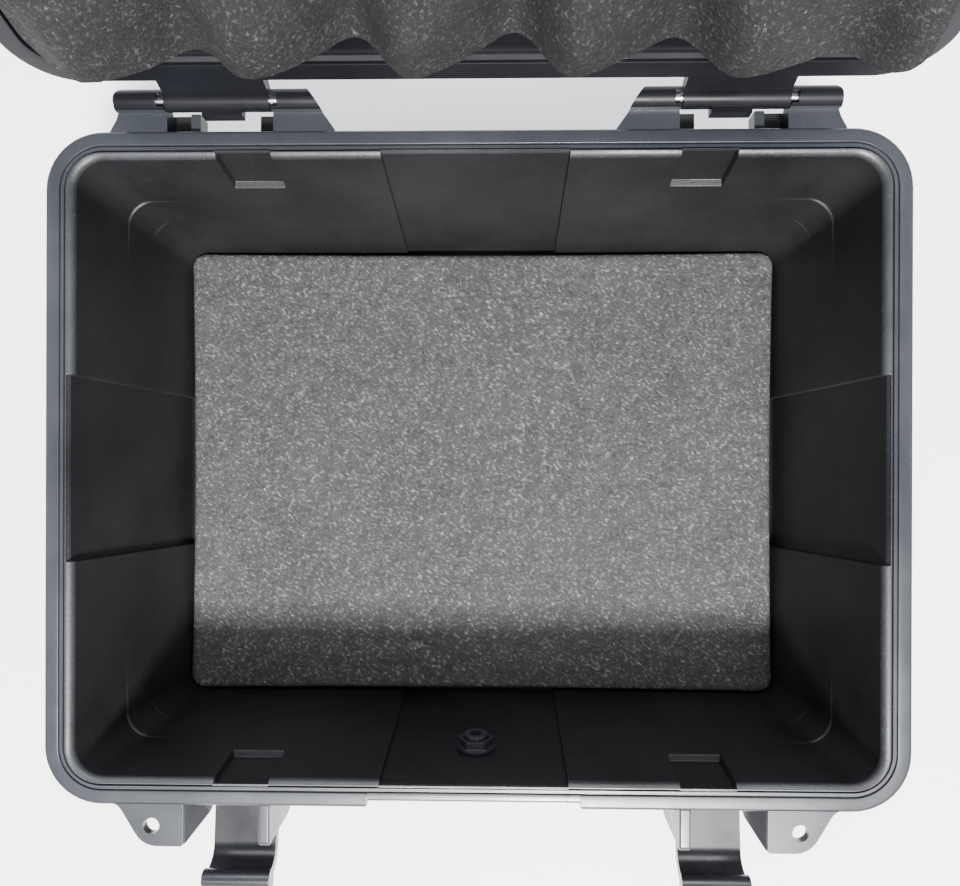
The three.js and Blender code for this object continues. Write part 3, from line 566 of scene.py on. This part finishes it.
def lid_front(hand, flip):
    """The lid's ledge for one latch, the ears beside it and the upper padlock plate."""
    place = LID_PLACE @ flip
    ledge = rounded((-REAR + 2, LID_LOW), (-REAR - 5, LID_LOW, 1),
                    (-REAR - 5, LID_LOW + 2.9, 1), (-REAR + 2, LID_LOW + 2.9))
    parts = [soften(prism(f"latch_ledge_{hand}", ledge, LATCH.x - STRAP_HALF,
                          LATCH.x + STRAP_HALF, "X", place), 0.3)]
    ear = rounded((-REAR + 2, LID_LOW), (EAR_FRONT, LID_LOW, 2), (EAR_FRONT, LID_LOW + 5, 3),
                  (-REAR - 2, LID_FLANGE_TOP + 2, 3), (-REAR + 2, LID_FLANGE_TOP - 1))
    for part, x in (("in", LATCH.x - EAR_HALF_GAP - EAR_THICK), ("out", LATCH.x + EAR_HALF_GAP)):
        made = prism(f"lid_ear_{part}_{hand}", ear, x, x + EAR_THICK, "X", place)
        parts.append(soften(made, 0.8, 3))
    parts.append(padlock_plate(f"lid_padlock_plate_{hand}", LID_LOW, flip, LID_PLACE))
    return parts


KNUCKLE = (HINGE_INNER[1] + 0.5, HINGE_OUTER[0] - 0.5)
STOP_TAB = (91, 106.8)


def lid_knuckle(hand, flip):
    """One leaf of the lid with its hinge barrel and the tab that stops it when it is open."""
    y, z = HINGE.y, HINGE.z
    leaf = rounded((REAR - 3, LID_LOW + 0.4), (y - 3.4, LID_LOW + 0.4), (y + 1.5, z + 2.6),
                   (y + 1.2, z + BARREL_R - 0.3), (REAR - 3, z + BARREL_R + 2.4))
    knuckle = prism(f"lid_knuckle_{hand}", leaf, *KNUCKLE, "X", LID_PLACE @ flip)
    join(knuckle, prism("barrel", circle(BARREL_R, (y, z), 40), *KNUCKLE, "X", LID_PLACE @ flip))
    tab = rounded((REAR + 4.6, RIM_Z - 2.4), (y - 2, RIM_Z - 2.4), (y - 2, z + 1.6),
                  (REAR + 4.6, z + 1.6))
    join(knuckle, prism("tab", tab, *STOP_TAB, "X", flip))
    return [soften(knuckle, 0.3)]


def lid_seal():
    section = ((8.65, 1.9), (8.8, 1.7), (12.1, 1.7), (12.25, 1.9), (12.25, 4.2), (8.65, 4.2))
    rows = [rim_ring(inset, RIM_Z + up, LID_STATIONS, 0) for inset, up in section]
    return soften(loft("lid_seal", rows, LID_PLACE, closed_rows=True), 0)


# ------------------------------------------------------------ foam
FOAM_PITCH = (57.9, 54)
FOAM_FIRST = (-21, 105)
FOAM_TIP, FOAM_VALLEY = RIM_Z - 15.5, RIM_Z + 9
FOAM_LEAN = 0.85                    # the bumps lean: steep on one side, gentle on the other
FOAM_HALF, FOAM_RADIUS = [half - 15.9 for half in RIM_HALF], 14
FOAM_BACK, FOAM_TAPER = LID_ROOF - 0.5, 4
PAD_HALF, PAD_RADIUS = (144.5, 108.7), 7
PAD_LOW, PAD_HIGH = FLOOR_Z + 0.3, FLOOR_Z + 10


def foam_noise(x, y, z, scale):
    return noise.noise(Vector((x, y, z)) * scale)


def unit_grid(columns, rows):
    """A grid on the square from -1 to 1: its (u, v) points, faces and border, in order."""
    wide = columns + 1
    points = [(2 * i / columns - 1, 2 * j / rows - 1) for j in range(rows + 1)
              for i in range(wide)]
    faces = [(a, a + 1, a + 1 + wide, a + wide) for j in range(rows)
             for a in range(j * wide, j * wide + columns)]
    border = ([i for i in range(wide)] + [j * wide + columns for j in range(1, rows + 1)]
              + [rows * wide + i for i in range(columns - 1, -1, -1)]
              + [j * wide for j in range(rows - 1, 0, -1)])
    return points, faces, border


def round_rectangle(u, v, half, drawn_in, radius):
    """Maps a point of that square into a rectangle that is drawn in and has round corners."""
    width, depth = half[0] - drawn_in, half[1] - drawn_in
    x, y = u * width, v * depth
    cx, cy = width - radius, depth - radius
    if abs(x) > cx and abs(y) > cy:
        dx, dy = (abs(x) - cx) / radius, (abs(y) - cy) / radius
        x = math.copysign(cx + radius * dx * math.sqrt(1 - dy * dy / 2), x)
        y = math.copysign(cy + radius * dy * math.sqrt(1 - dx * dx / 2), y)
    return x, y


def skirt(upper, lower):
    """Faces between two closed loops of points."""
    count = len(upper)
    return [(upper[k], upper[(k + 1) % count], lower[(k + 1) % count], lower[k])
            for k in range(count)]


def bump_height(x, y):
    """Height of the convoluted face: the tips hang lowest."""
    across = math.cos(math.pi * (y - FOAM_FIRST[1]) / FOAM_PITCH[1])
    turn = 2 * math.pi * (x - FOAM_FIRST[0]) / FOAM_PITCH[0]
    if across < 0:
        turn += math.pi
    wave = math.cos(turn - FOAM_LEAN * (1 - math.cos(turn)) / 2) * abs(across)
    lump = 0.5 + 0.5 * wave + 0.07 * foam_noise(x, y, 0, 0.03)
    lump = min(1, max(0, lump)) ** 1.1
    valley = FOAM_VALLEY - 15 * (x / FOAM_HALF[0]) ** 2
    grain = 0.3 * foam_noise(x, y, 7, 0.4) + 0.25 * foam_noise(x, y, 3, 1.1)
    return valley + (FOAM_TIP + 0.4 - valley) * lump + grain


def lid_egg_foam():
    """Convoluted foam: staggered round bumps that reach past the parting plane."""
    points, faces, border = unit_grid(236, 180)
    verts = []
    for u, v in points:
        z = bump_height(*round_rectangle(u, v, FOAM_HALF, 0, FOAM_RADIUS))
        taper = max(0, FOAM_TAPER * (z - LID_LOW) / (LID_ROOF - LID_LOW))
        verts.append((*round_rectangle(u, v, FOAM_HALF, taper, FOAM_RADIUS), z))
    back = range(len(verts), len(verts) + len(border))
    verts += [(*round_rectangle(*points[k], FOAM_HALF, FOAM_TAPER + 0.2, FOAM_RADIUS), FOAM_BACK)
              for k in border]
    faces += skirt(border, back)
    faces.append(tuple(back))
    return smooth(piece("lid_egg_foam", verts, faces, LID_PLACE), 55)


def floor_foam():
    """A cut foam pad: soft upper edges, and sides drawn in a little between the corners."""
    def spot(u, v, drawn_in):
        x, y = round_rectangle(u, v, PAD_HALF, drawn_in, PAD_RADIUS)
        bow_x = 1.5 * (1 - (y / PAD_HALF[1]) ** 2) * (abs(x) / PAD_HALF[0]) ** 3
        bow_y = 1.1 * (1 - (x / PAD_HALF[0]) ** 2) * (abs(y) / PAD_HALF[1]) ** 3
        return (x - math.copysign(bow_x, x), y - math.copysign(bow_y, y))

    def top(x, y, u, v):
        from_edge = min((1 - abs(u)) * PAD_HALF[0], (1 - abs(v)) * PAD_HALF[1])
        fall = 1.3 * max(0, 1 - from_edge / 2.2) ** 2
        crown = 0.5 * foam_noise(x, y, 1, 0.018) - 0.3
        grain = 0.16 * foam_noise(x, y, 5, 0.6) + 0.1 * foam_noise(x, y, 9, 1.4)
        return min(PAD_HIGH + 0.3, PAD_HIGH + crown + grain - fall)

    points, faces, border = unit_grid(260, 200)
    verts = []
    for u, v in points:
        x, y = spot(u, v, 0.5)
        verts.append((x, y, top(x, y, u, v)))
    level = border
    sides = ((0.2, PAD_HIGH - 2.6), (1.2, PAD_LOW + 3.7), (2.2, PAD_LOW + 1), (3.2, PAD_LOW))
    for drawn_in, z in sides:
        lower = range(len(verts), len(verts) + len(border))
        for k in border:
            x, y = spot(*points[k], drawn_in)
            grain = 0.12 * foam_noise(x, y, z, 0.7)
            verts.append((x + grain, y + grain, z))
        faces += skirt(level, lower)
        level = lower
    faces.append(tuple(level))
    return smooth(piece("floor_foam", verts, faces), 60)


# ------------------------------------------------------------ latches
def curve(*points):
    """A smooth outline through quadratic arcs: (a, b) is a corner, (a, b, c, d) an arc's
    control point and end."""
    line = [Vector(points[0])]
    for point in points[1:]:
        if len(point) == 2:
            line.append(Vector(point))
            continue
        start, control, end = line[-1], Vector(point[:2]), Vector(point[2:])
        for k in range(1, ARC_STEPS + 1):
            t = k / ARC_STEPS
            line.append(start * (1 - t) ** 2 + control * 2 * t * (1 - t) + end * t * t)
    return line


def latch(hand, way):
    """A snap-over strap with its barrel and thumb tab, and its hook bar, in the open pose."""
    place = (Matrix.Translation((way * LATCH.x, LATCH.y, LATCH.z))
             @ Matrix.Rotation(math.radians(LATCH_OPEN), 4, "X"))
    strap_side = curve((0, -4.4), (-11, -6, -11, 4), (-11, 24), (-10.5, 33, 1, 37.7), (3, 32.5),
                       (-7, 31, -7, 23), (-7, 5), (-6.5, 2, -2, 3.6))
    strap = prism(f"latch_strap_{hand}", strap_side, -STRAP_HALF, STRAP_HALF, "X", place)
    barrel = prism("barrel", circle(4.4, (0, 0), 36), -STRAP_HALF, STRAP_HALF, "X", place)
    tab_side = rounded((-6.5, 28.5), (-9.2, 31.5), (-14.5, 42, 1), (-12, 43.6, 1), (-4.8, 36.2),
                       (-2.2, 34))
    tab = prism("tab", tab_side, -11, 11, "X", place)
    join(strap, barrel, tab)
    hook = prism(f"latch_hook_{hand}", circle(3.8, (3, 34.5), 40), -14.2, 14.2, "X", place)
    cut(strap, prism("bore", circle(2.25, (0, 0), 24), -20, 20, "X", place))
    return [soften(strap, 0.5, 3), soften(hook, 0.5, 3)]


def pin(name, x0, x1, y, z, radius):
    """A turned steel pin along X with chamfered ends."""
    chamfer = 0.35
    profile = [(0, x0), (radius - chamfer, x0), (radius, x0 + chamfer), (radius, x1 - chamfer),
               (radius - chamfer, x1), (0, x1)]
    place = Matrix.Translation((0, y, z)) @ Matrix.Rotation(math.pi / 2, 4, "Y")
    return soften(lathe(name, profile, place, sides=32), 0)


# ------------------------------------------------------------ handle
GRIP = (-131, 47)
ARM = (46.3, 55.6)
GRIP_HALF, GRIP_RIBS = 43.5, 22
GRIP_ACROSS, GRIP_UP = 7.2, 8.6


def handle_parts():
    """The handle's frame with its core bar, and the ribbed grip round the bar."""
    _, y, z = HANDLE
    gy, gz = GRIP
    side = rounded((y - 4.6, z + 4.6, 4), (y - 4.6, z - 14, 10), (gy - 6.4, gz + 8, 4),
                   (gy - 6.4, gz - 6.4, 5), (gy + 6.4, gz - 6.4, 5), (gy + 6.4, gz + 8, 6),
                   (y + 4.6, z - 10, 8), (y + 4.6, z + 4.6, 4))
    bow = prism("handle_bow", side, *ARM, "X")
    join(bow, prism("arm", side, -ARM[1], -ARM[0], "X"),
         prism("core", circle(5, GRIP, 32), -ARM[0] - 1.2, ARM[0] + 1.2, "X"))
    cut(bow, prism("bore", circle(2.35, (y, z), 24), -70, 70, "X"))
    soften(bow, 0.9, 3)
    half = GRIP_HALF
    stops = [(-half, 0.82), (-half + 0.5, 0.95), (-half + 1.4, 1)]
    for k in range(GRIP_RIBS):
        x = -half + 3 + k * (2 * half - 6) / (GRIP_RIBS - 1)
        stops += [(x - 1.2, 1), (x - 0.8, 0.93), (x + 0.3, 0.93), (x + 0.7, 1)]
    stops += [(half - 1.4, 1), (half - 0.5, 0.95), (half, 0.82)]
    rows = [[(x, *p) for p in circle(GRIP_ACROSS * grow, GRIP, 40, GRIP_UP / GRIP_ACROSS)]
            for x, grow in stops]
    rows += [[(x, *p) for p in circle(5.35, GRIP, 40)] for x in (half, -half)]
    grip = loft("handle_rubber", rows, closed_rows=True)
    return bow, soften(grip, 0)


# ------------------------------------------------------------ pressure valve
VALVE_Z = RIM_Z - 33
KNOB_NOTCHES = 24


def valve_place():
    """The valve's own frame: Z points out of the front wall, from the wall's middle."""
    half, _ = wall_at(VALVE_Z)
    slope = math.atan2(MOUTH_HALF[1] - FLOOR_HALF[1], RIM_Z - FLOOR_Z)
    return (Matrix.Translation((0, -(half[1] + BAY_DEPTH + WALL / 2), VALVE_Z))
            @ Matrix.Rotation(math.pi / 2 + slope, 4, "X"))


def valve_parts():
    place = valve_place()
    body = [(2.6, -8.5), (4.6, -8.5), (5, -8.1), (5, 3.5), (8.2, 3.5), (8.6, 3.9), (8.6, 5),
            (8.3, 5.3), (3.9, 5.3), (3.9, 4.3), (2.6, 4.3)]
    membrane = [(0, 4.6), (3.5, 4.6), (3.5, 5), (0, 5)]
    seal = [(5.35, 2), (7.8, 2), (8, 2.2), (8, 3), (7.8, 3.2), (5.35, 3.2)]
    cap = [(0, 5.85), (8.95, 5.85), (8.95, 3.35), (9.5, 3.35), (9.8, 3.7), (9.8, 6.9), (9.4, 7.3),
           (8.6, 7.3), (8.3, 8.1), (7.9, 8.3), (3.4, 8.3), (3, 8), (2.8, 7.6), (0, 7.5)]
    made = {
        "valve_stem": soften(lathe("valve_stem", body, place), 0),
        "valve_disc": soften(lathe("valve_disc", membrane, place, 32), 0),
        "valve_seal": soften(lathe("valve_seal", seal, place), 0)}
    top = lathe("valve_knob", cap, place)
    notches = []
    for k in range(KNOB_NOTCHES):
        turn = place @ Matrix.Rotation(2 * math.pi * k / KNOB_NOTCHES, 4, "Z")
        notches.append(prism("notch", circle(0.55, (9.9, 0), 8), 3.9, 6.7, "Z", turn))
    made["valve_knob"] = soften(cut(top, *notches), 0)
    low = -WALL / 2 - 0.35
    nut = prism("valve_hex_nut", circle(7.6, (0, 0), 6), low - 5, low - 1, "Z", place)
    join(nut, prism("washer", circle(8.2, (0, 0), 48), low - 1.6, low, "Z", place))
    cut(nut, prism("bore", circle(5.35, (0, 0), 32), low - 8, low + 1, "Z", place))
    made["valve_hex_nut"] = soften(nut, 0.35)
    return made


# ------------------------------------------------------------ materials
def new_material(name, color, roughness, metallic=0.0, specular=0.5):
    material = bpy.data.materials.new(name)
    material.use_nodes = True
    shader = material.node_tree.nodes["Principled BSDF"]
    shader.inputs["Base Color"].default_value = (*color, 1)
    shader.inputs["Roughness"].default_value = roughness
    shader.inputs["Metallic"].default_value = metallic
    shader.inputs["Specular IOR Level"].default_value = specular
    return material, Nodes(material.node_tree, shader)


class Nodes:
    """Short calls for the shader nodes that the materials share."""

    def __init__(self, tree, shader):
        self.tree, self.shader = tree, shader
        self.place = tree.nodes.new("ShaderNodeTexCoord").outputs["Object"]

    def link(self, out, socket):
        self.tree.links.new(out, socket)

    def stretched(self, stretch, turn=(0, 0, 0)):
        mapping = self.tree.nodes.new("ShaderNodeMapping")
        mapping.vector_type = "TEXTURE"
        mapping.inputs["Scale"].default_value = stretch
        mapping.inputs["Rotation"].default_value = turn
        self.link(self.place, mapping.inputs["Vector"])
        return mapping.outputs["Vector"]

    def noise(self, scale, detail=3.0, rough=0.55, place=None):
        node = self.tree.nodes.new("ShaderNodeTexNoise")
        node.inputs["Scale"].default_value = scale
        node.inputs["Detail"].default_value = detail
        node.inputs["Roughness"].default_value = rough
        self.link(place or self.place, node.inputs["Vector"])
        return node.outputs["Fac"]

    def cells(self, scale, place):
        node = self.tree.nodes.new("ShaderNodeTexVoronoi")
        node.inputs["Scale"].default_value = scale
        self.link(place, node.inputs["Vector"])
        return node.outputs

    def math(self, operation, *values):
        node = self.tree.nodes.new("ShaderNodeMath")
        node.operation = operation
        for socket, value in zip(node.inputs, values):
            if isinstance(value, (int, float)):
                socket.default_value = value
            else:
                self.link(value, socket)
        return node.outputs[0]

    def ramp(self, value, low, high, to_low=0.0, to_high=1.0):
        node = self.tree.nodes.new("ShaderNodeMapRange")
        node.inputs["From Min"].default_value = low
        node.inputs["From Max"].default_value = high
        node.inputs["To Min"].default_value = to_low
        node.inputs["To Max"].default_value = to_high
        self.link(value, node.inputs["Value"])
        return node.outputs["Result"]

    def mix(self, factor, a, b):
        node = self.tree.nodes.new("ShaderNodeMix")
        node.data_type = "RGBA"
        self.link(factor, node.inputs["Factor"])
        for socket, value in ((node.inputs[6], a), (node.inputs[7], b)):
            if isinstance(value, tuple):
                socket.default_value = (*value, 1)
            else:
                self.link(value, socket)
        return node.outputs[2]

    def bump(self, height, strength, distance):
        node = self.tree.nodes.new("ShaderNodeBump")
        node.inputs["Strength"].default_value = strength
        node.inputs["Distance"].default_value = distance
        self.link(height, node.inputs["Height"])
        return node.outputs["Normal"]

    def finish(self, color, roughness=None, normal=None):
        for out, socket in ((color, "Base Color"), (roughness, "Roughness"), (normal, "Normal")):
            if out is not None:
                self.link(out, self.shader.inputs[socket])


def plastic(name, dark, light, roughness, grain_scale, grain, specular=0.5):
    """Moulded plastic: a fine eroded grain, cloudy tone and slight changes of gloss."""
    material, n = new_material(name, dark, roughness, specular=specular)
    cloud = n.ramp(n.noise(14, 4), 0.35, 0.7)
    fine = n.noise(grain_scale, 3, 0.6)
    speck = n.ramp(n.noise(grain_scale * 0.7, 2), 0.58, 0.72)
    tone = n.math("MULTIPLY_ADD", speck, 0.35, n.math("MULTIPLY", cloud, 0.65))
    color = n.mix(tone, dark, light)
    rough = n.ramp(n.noise(45, 5), 0.3, 0.7, roughness - 0.07, roughness + 0.08)
    n.finish(color, rough, n.bump(fine, grain, 0.00012))
    return material


def foam_material(name, dark, light, painted_glint_color, painted_spark_color, cell_scale, slant):
    """Closed-cell foam: pores, and short slanting pale streaks and sparks in its colour, which are
    painted glints.
    """
    material, n = new_material(name, dark, 0.85, specular=0.28)
    cloud = n.ramp(n.noise(30, 4), 0.32, 0.68)
    coarse = n.ramp(n.noise(cell_scale * 0.5, 2, 0.6), 0.34, 0.66)
    grain = n.ramp(n.noise(cell_scale * 1.3, 3, 0.7), 0.3, 0.72)
    patch = n.ramp(n.noise(cell_scale * 0.2, 2), 0.36, 0.64)
    tone = n.math("ADD", n.math("MULTIPLY", cloud, 0.12), n.math("MULTIPLY", coarse, 0.32))
    tone = n.math("ADD", tone, n.math("MULTIPLY", grain, 0.38))
    tone = n.math("ADD", tone, n.math("MULTIPLY", patch, 0.18))
    color = n.mix(tone, dark, light)
    streak = n.noise(cell_scale * 0.95, 2, 0.5, n.stretched((1, 1.8, 1), slant))
    streak = n.ramp(streak, 0.53, 0.77)
    # Where the streaks would catch the light, the colour is lightened towards the glint colour:
    # painted glints.
    painted_glint = n.math("MULTIPLY", streak, n.ramp(patch, 0, 1, 0.3, 1))
    color = n.mix(painted_glint, color, painted_glint_color)
    cells = n.cells(cell_scale * 0.9, n.stretched((1, 1.5, 1), slant))
    chance = n.tree.nodes.new("ShaderNodeSeparateColor")
    n.link(cells["Color"], chance.inputs["Color"])
    picked = n.math("GREATER_THAN", chance.outputs["Red"], 0.80)
    near = n.math("MULTIPLY", n.ramp(cells["Distance"], 0.34, 0.12), painted_glint)
    # A few picked cells near the glints take the spark colour: painted sparkle of reflected light.
    painted_spark = n.math("MULTIPLY", n.math("MULTIPLY", picked, near), chance.outputs["Green"])
    color = n.mix(painted_spark, color, painted_spark_color)
    height = n.math("ADD", streak, grain)
    n.finish(color, n.ramp(painted_glint, 0, 1, 0.85, 0.60), n.bump(height, 0.7, 0.0004))
    return material


def steel_material():
    material, n = new_material("pin_steel", (0.62, 0.63, 0.65), 0.24, metallic=1)
    streak = n.noise(1500, 3, 0.6, n.stretched((25, 1, 1)))
    n.finish(n.mix(n.ramp(n.noise(90, 3), 0.3, 0.7), (0.55, 0.56, 0.58), (0.68, 0.69, 0.70)),
             n.ramp(streak, 0.3, 0.7, 0.18, 0.34), n.bump(streak, 0.15, 0.00005))
    return material


def rubber_material(name, color):
    material, n = new_material(name, color, 0.75, specular=0.35)
    grain = n.noise(1400, 3)
    n.finish(n.mix(n.ramp(n.noise(60, 4), 0.3, 0.7), color, tuple(c * 1.8 for c in color)),
             n.ramp(grain, 0.3, 0.7, 0.65, 0.85), n.bump(grain, 0.2, 0.0001))
    return material


def floor_material():
    material, n = new_material("studio_floor", (0.8, 0.8, 0.8), 0.6)
    n.finish(n.mix(n.noise(3, 3), (0.84, 0.84, 0.84), (0.88, 0.88, 0.875)))
    n.shader.inputs["Emission Color"].default_value = (1, 1, 1, 1)
    n.shader.inputs["Emission Strength"].default_value = 0.14
    return material


RIM_PLASTIC = plastic("rim_plastic", (0.014, 0.016, 0.020), (0.032, 0.035, 0.042), 0.33, 1500,
                      0.12)
WALL_PLASTIC = plastic("wall_plastic", (0.0046, 0.0047, 0.0054), (0.0145, 0.0147, 0.0165), 0.50,
                       1000, 0.9, 0.32)
LIP_PLASTIC = plastic("lip_plastic", (0.008, 0.0086, 0.0097), (0.036, 0.038, 0.042), 0.46, 900,
                      1.0, 0.5)
# A darker copy of the case plastic: its extra darkness is painted shade on the lid and on the hinge
# barrels.
SHADED_PLASTIC = plastic("shaded_plastic", (0.0040, 0.0043, 0.0058), (0.0100, 0.0105, 0.0135), 0.36,
                      1500, 0.07, 0.14)
FITTING_PLASTIC = plastic("fitting_plastic", (0.0095, 0.0100, 0.0130), (0.0220, 0.0228, 0.0280),
                          0.29, 1700, 0.06)
# Each foam's third and fourth colours are painted glint and sparkle colours, not the foam's own
# tone.
PAD_FOAM = foam_material("pad_foam", (0.0115, 0.0113, 0.0118), (0.063, 0.0618, 0.063),
                         (0.185, 0.185, 0.188), (0.60, 0.60, 0.60), 880, (0, 0, 1.0))
EGG_FOAM = foam_material("egg_foam", (0.0022, 0.0022, 0.0024), (0.0132, 0.0131, 0.0134),
                         (0.050, 0.050, 0.051), (0.32, 0.32, 0.32), 880, (0, 1.0, 0))
SEAL_RUBBER = rubber_material("seal_rubber", (0.010, 0.010, 0.011))
GRIP_RUBBER = rubber_material("grip_rubber", (0.0085, 0.0086, 0.0095))
PIN_STEEL = steel_material()
MEMBRANE = rubber_material("vent_membrane", (0.42, 0.42, 0.40))


# ------------------------------------------------------------ putting the case together
def settle(ob, body, slot, *materials, stands_for=()):
    """Gives a piece its materials and body, and the CAD nodes that it stands for; the slot is not
    used.
    """
    for material in materials:
        ob.data.materials.append(material)
    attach(ob, body)
    if stands_for:
        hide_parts(*stands_for)


def base():
    mould = soften(base_mould(), 0)
    settle(mould, "base", "shell", RIM_PLASTIC, WALL_PLASTIC, LIP_PLASTIC,
           stands_for=["base_shell"])
    for block in feet():
        settle(soften(block, 0), "base", "shell", WALL_PLASTIC)
    brackets = [ob for make in (hinge_bracket, latch_ear_pair, handle_lug)
                for group in mirrored(make) for ob in group]
    brackets += mirrored(lambda hand, flip: padlock_plate(
        f"padlock_plate_{hand}", RIM_Z - PADLOCK_PLATE, flip))
    for bracket in brackets:
        # Webs 0 and 2 sit deep behind the rim and take the darker wall plastic: painted shade, so
        # they read as dark holes.
        painted_shade = bracket.name.startswith(("hinge_web_0", "hinge_web_2"))
        settle(bracket, "base", "shell", WALL_PLASTIC if painted_shade else RIM_PLASTIC, SHADED_PLASTIC)
    pad = floor_foam()
    settle(pad, "base", "foam", PAD_FOAM, stands_for=["floor_pad"])


def lid():
    mould = soften(lid_mould(), 0)
    settle(mould, "lid", "shell", SHADED_PLASTIC, stands_for=["lid_shell"])
    for ob in [ob for make in (lid_front, lid_knuckle) for group in mirrored(make)
               for ob in group]:
        settle(ob, "lid", "shell", SHADED_PLASTIC)
    settle(lid_seal(), "lid", "seal", SEAL_RUBBER, stands_for=["lid_gasket"])
    foam = lid_egg_foam()
    settle(foam, "lid", "foam", EGG_FOAM, stands_for=["lid_foam"])


def fittings():
    for hand, way in (("left", -1), ("right", 1)):
        strap, hook = latch(hand, way)
        settle(strap, f"latch_{hand}", "fitting", FITTING_PLASTIC, stands_for=[f"latch_{hand}"])
        settle(hook, f"latch_{hand}", "fitting", FITTING_PLASTIC)
        for node, radius in (("hinge_pin", 2), ("latch_pin", 1.9), ("handle_pin", 2)):
            low, high = (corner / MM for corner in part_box(f"{node}_{hand}"))
            middle = (low + high) / 2
            made = pin(f"{node}_turned_{hand}", low.x, high.x, middle.y, middle.z, radius)
            settle(made, "base", "steel", PIN_STEEL, stands_for=[f"{node}_{hand}"])
    bow, grip = handle_parts()
    settle(bow, "handle", "fitting", FITTING_PLASTIC, stands_for=["handle_frame"])
    settle(grip, "handle", "seal", GRIP_RUBBER, stands_for=["handle_grip"])
    looks = {"valve_stem": ("fitting", FITTING_PLASTIC, "valve_body"),
             "valve_disc": ("membrane", MEMBRANE, "valve_membrane"),
             "valve_seal": ("seal", SEAL_RUBBER, "valve_gasket"),
             "valve_knob": ("fitting", FITTING_PLASTIC, "valve_cap"),
             "valve_hex_nut": ("fitting", FITTING_PLASTIC, "valve_nut")}
    for name, ob in valve_parts().items():
        slot, material, node = looks[name]
        settle(ob, "base", slot, material, stands_for=[node])


# ------------------------------------------------------------ studio
FLOOR_PLANE_HALF = 4000


def camera():
    data = bpy.data.cameras.new("camera")
    data.lens, data.sensor_width = 31.65, 36
    data.shift_x, data.shift_y = -0.0042, 0.0385
    data.clip_start = 0.01
    ob = bpy.data.objects.new("camera", data)
    ob.location = (0.0107, -0.0040, 0.4336)
    ob.rotation_euler = (math.radians(-0.04), math.radians(1.2), math.radians(0.17))
    bpy.context.scene.collection.objects.link(ob)
    bpy.context.scene.camera = ob


def area_light(name, place, aim, size, power, color):
    data = bpy.data.lights.new(name, "AREA")
    data.shape = "RECTANGLE"
    data.size, data.size_y = size
    data.energy = power
    data.color = color
    ob = bpy.data.objects.new(name, data)
    ob.location = place
    ob.rotation_euler = (Vector(aim) - Vector(place)).to_track_quat("-Z", "Y").to_euler()
    bpy.context.scene.collection.objects.link(ob)


def studio():
    world = bpy.data.worlds.new("studio")
    bpy.context.scene.world = world
    world.use_nodes = True
    background = world.node_tree.nodes["Background"]
    background.inputs["Color"].default_value = (0.88, 0.93, 1, 1)
    background.inputs["Strength"].default_value = 0.50
    corners = [(x * FLOOR_PLANE_HALF, y * FLOOR_PLANE_HALF, -0.3)
               for x, y in ((-1, -1), (1, -1), (1, 1), (-1, 1))]
    floor = piece("studio_floor_plane", corners, [(0, 1, 2, 3)])
    floor.data.materials.append(floor_material())
    area_light("key", (0.16, -0.90, 1.48), (0, 0, 0.05), (0.28, 0.22), 140, (1, 0.985, 0.96))
    area_light("front_strip", (0.1, -0.68, 1.62), (0, -0.1, 0.1), (1.5, 0.30), 16, (1, 0.99, 0.97))
    area_light("rear_top", (0.05, 1.05, 1.45), (0, -0.1, 0.1), (1.3, 0.8), 34, (0.97, 0.98, 1))
    area_light("left_wall", (-1.3, 0.0, 1.2), (0, 0, 0.1), (1.5, 0.8), 8, (0.88, 0.94, 1))
    area_light("right_wall", (1.3, 0.0, 1.2), (0, 0, 0.1), (1.5, 0.8), 8, (0.88, 0.94, 1))
    area_light("front_card", (0.1, -1.5, 0.45), (0, 0, 0.1), (1.6, 0.5), 10, (1, 0.99, 0.97))
    area_light("rear_card", (0, 1.5, 0.42), (0, 0, 0.1), (2.2, 0.6), 22, (0.92, 0.96, 1))


camera()
studio()
base()
lid()
fittings()
